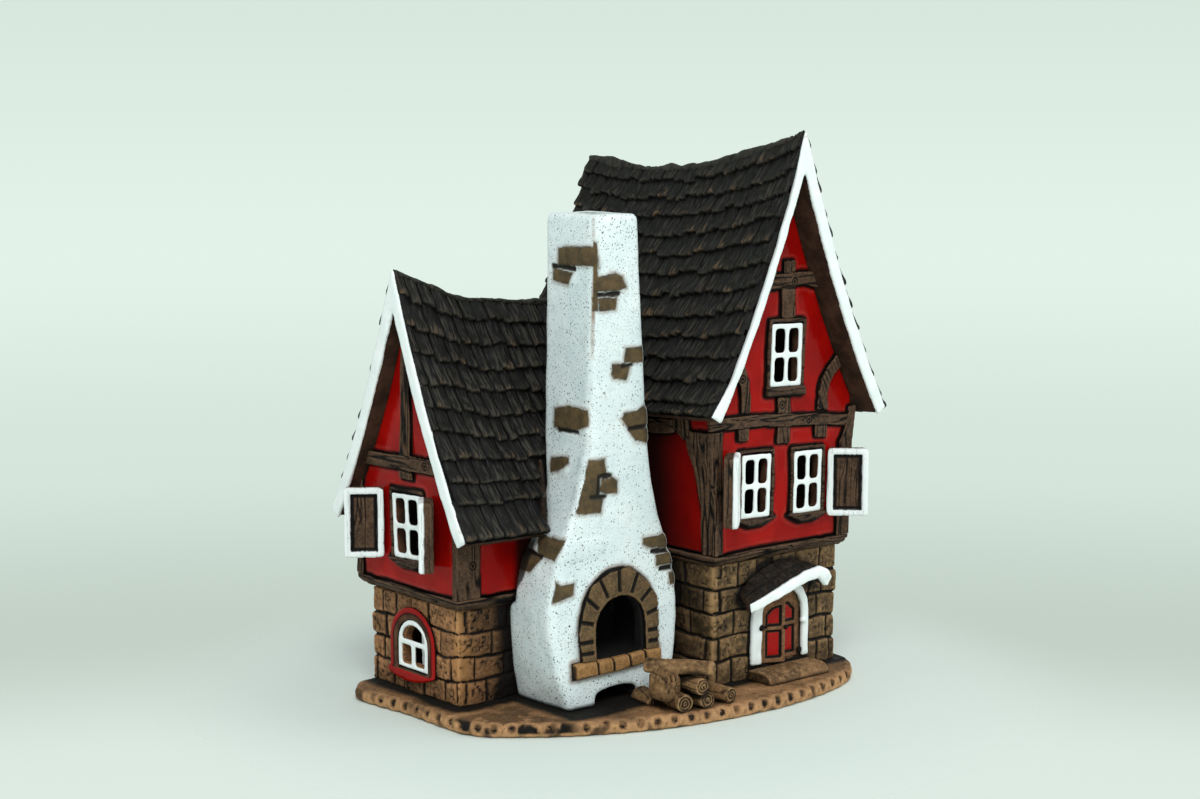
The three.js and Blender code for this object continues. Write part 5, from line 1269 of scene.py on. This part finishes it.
def stage():
    floor()
    sky()
    for name, spot, size, power in LAMPS:
        lamp = bpy.data.lights.new(name, "AREA")
        lamp.size, lamp.energy = size, power
        thing = add_object(name, lamp)
        thing.location = spot
        thing.rotation_euler = (LAMP_AIM - Vector(spot)).to_track_quat("-Z", "Y").to_euler()
    camera = add_object("camera", bpy.data.cameras.new("camera"))
    camera.data.lens = LENS
    camera.data.sensor_width = 36
    camera.location = at(*CAMERA_PLACE)
    camera.rotation_euler = CAMERA_AIM.to_track_quat("-Z", "Y").to_euler()
    scene.camera = camera
    scene.view_settings.view_transform = "Standard"


# Shade and presses that belong to single faces

VERGE_KEPT = 3.57
BAND_RADIUS, BAND_SPRING = 14.95, 27


def lower_left_verge(p):
    """The tower's left verge strip is narrow: its upper part is pressed down, which bares the slab's edge."""
    side = step(-1.0, -6.0, p[:, 0] - TOWER_X)
    share = (TOWER_X - p[:, 0]) / TOWER.spread
    above = p[:, 2] - TOWER.surface(p[:, 1], np.clip(share, 0, 1), 0.0, -1)[:, 2] + VERGE_KEPT
    moved = p.copy()
    moved[:, 2] -= side * step(1.0, 0.78, share) * np.maximum(above, 0) * 0.85
    return moved


def tower_shade(p, n):
    """Painted shade: the flank darkens towards the low wing, and shade and smoke lie round the door's hood.
    Black round its band.
    """
    flank = (n[:, 0] < -0.5) * (0.3 * step(-37, -30, p[:, 1]) + 0.4 * step(-28, -16, p[:, 1]))
    x, z = p[:, 0] - DOOR_X, p[:, 2]
    hood = least(*(near_line(x, z, ends) for ends in zip(HOOD_LINE, HOOD_LINE[1:])))
    band = np.hypot(x + 1.1, np.maximum(z - BAND_SPRING, 0)) - BAND_RADIUS
    shade_and_smoke = step(6.0, 2.0, hood + 1.2 * fractal(p, 5, 55))
    return flank + (n[:, 1] < -0.5) * most(0.95 * shade_and_smoke, step(1.3, 0.8, band))


def cottage_shade(p, n):
    return (n[:, 1] < -0.5) * (0.3 + 0.22 * step(3, 12, p[:, 0]) + 0.55 * step(13, 22, p[:, 0]))


base()
stone("cottage_stone_walls", "cottage_stone", STONE, COTTAGE_SILL, 4,
      [(0, 0, 0, COTTAGE_WIDTH, 5), (1, 0, 0, 25, 2), (1, COTTAGE_WIDTH, 0, COTTAGE_LENGTH, 8)],
      (0, 0, 6), cottage_shade, 41)
stone("tower_stone_walls", "tower_stone", TOWER_STONE, TOWER_SILL, 5,
      [(1, TOWER_FRONT, CORNER_X, TOWER_RIGHT, 6), (0, CORNER_X, TOWER_FRONT, 0, 3),
       (0, TOWER_RIGHT, TOWER_FRONT, TOWER_BACK, 9), (1, TOWER_BACK, CORNER_X, TOWER_RIGHT, 6)],
      (CORNER_X, TOWER_FRONT, 3.2), tower_shade, 51)
timber("cottage_sill_beams", "cottage_sills", level=True)
timber("tower_sill_beams", "tower_sills", level=True, pegs=[(122.7, -42.5, 52.3)])
timber("cottage_near_post", "cottage_post_near", pegs=[(2.6, -4.5, 56.5)])
timber("cottage_far_post", "cottage_post_far")
timber("cottage_collar_beam", "cottage_collar", level=beam([(-10, 90), (70, 89.4)], 2.9, 1),
       pegs=[(-4.5, 13.8, 90.6)])
timber("tower_left_post", "tower_post_left")
timber("tower_right_post", "tower_post_right")
timber("tower_flank_plate", "tower_plate", level=True)
timber("tower_tie_beam", "tower_tie", pegs=[(131.9, -42.5, 100.7), (117.6, -42.5, 107.3)],
       level=beam([(78, 103), (100, 102.6), (125, 101.2), (161.6, 98.6)], 2.5))
timber("tower_collar_beam", "tower_collar", pegs=[(123.4, -42.5, 152.7)],
       level=beam([(98, 152.6), (120, 153.2), (130, 153.6), (145, 151)], 3.0))
timber("tower_left_brace", "brace_left", slant=8, pegs=[(97.3, -42.5, 118.6)])
timber("tower_right_brace", "brace_right", slant=-25)
for window, axis in (("cottage", 0), ("tower_left", 1), ("tower_right", 1), ("tower_attic", 1)):
    def reveal(p, n, axis=axis):
        return {"dark": step(0.35, 0.1, -n[:, axis]) * step(1.0, 1.5, p[:, axis] - p[:, axis].min())}
    trim(window + "_window_frame", window + "_bars", grow=lambda p: -0.1, paints=reveal)
    # Ledges are a little darker all over, with painted shade on their undersides
    timber(window + "_window_casing", window + "_ledge", level=True, grain=0.2,
           dark=lambda p, n: np.maximum(0.22, step(0.1, -0.4, n[:, 2])))
plaster("cottage_plaster_walls", "cottage_plaster",
        lambda p, n: (n[:, 1] < -0.5) * step(21, 25, p[:, 0]) * 0.9)
plaster("tower_plaster_walls", "tower_plaster",
        lambda p, n: (n[:, 0] < -0.5) * np.clip(0.3 + 0.65 * step(-32, -8, p[:, 1]), 0, 0.94))
roofs()
trim("cottage_verge_trim", "cottage_verge", voxel=0.6, rounds=3, wave=0.4, wave_size=7)
trim("tower_verge_trim", "tower_verge", voxel=0.6, rounds=3, wave=0.4, wave_size=7, bend=lower_left_verge)
arch_window()
door()
hearth()
for seed, key in enumerate(LOGS):
    log(key, seed)
split_block()
shutter("tower_left_shutter", "shutter_tower_left", "front", 94.3, 66.8, 14, 25.7, 43, -1)
shutter("tower_right_shutter", "shutter_tower_right", "front", 140.9, 63.6, 14.8, 25.2, 44, 1)
shutter("cottage_near_shutter", "shutter_cottage_near", "side", 15.2, 55, 14, 24.6, 36, 1)
shutter("cottage_far_shutter", "shutter_cottage_far", "side", 38, 54.4, 13.8, 25.2, 54, -1)
chimney()
roof_fillet()
stage()
bpy.context.view_layer.update()
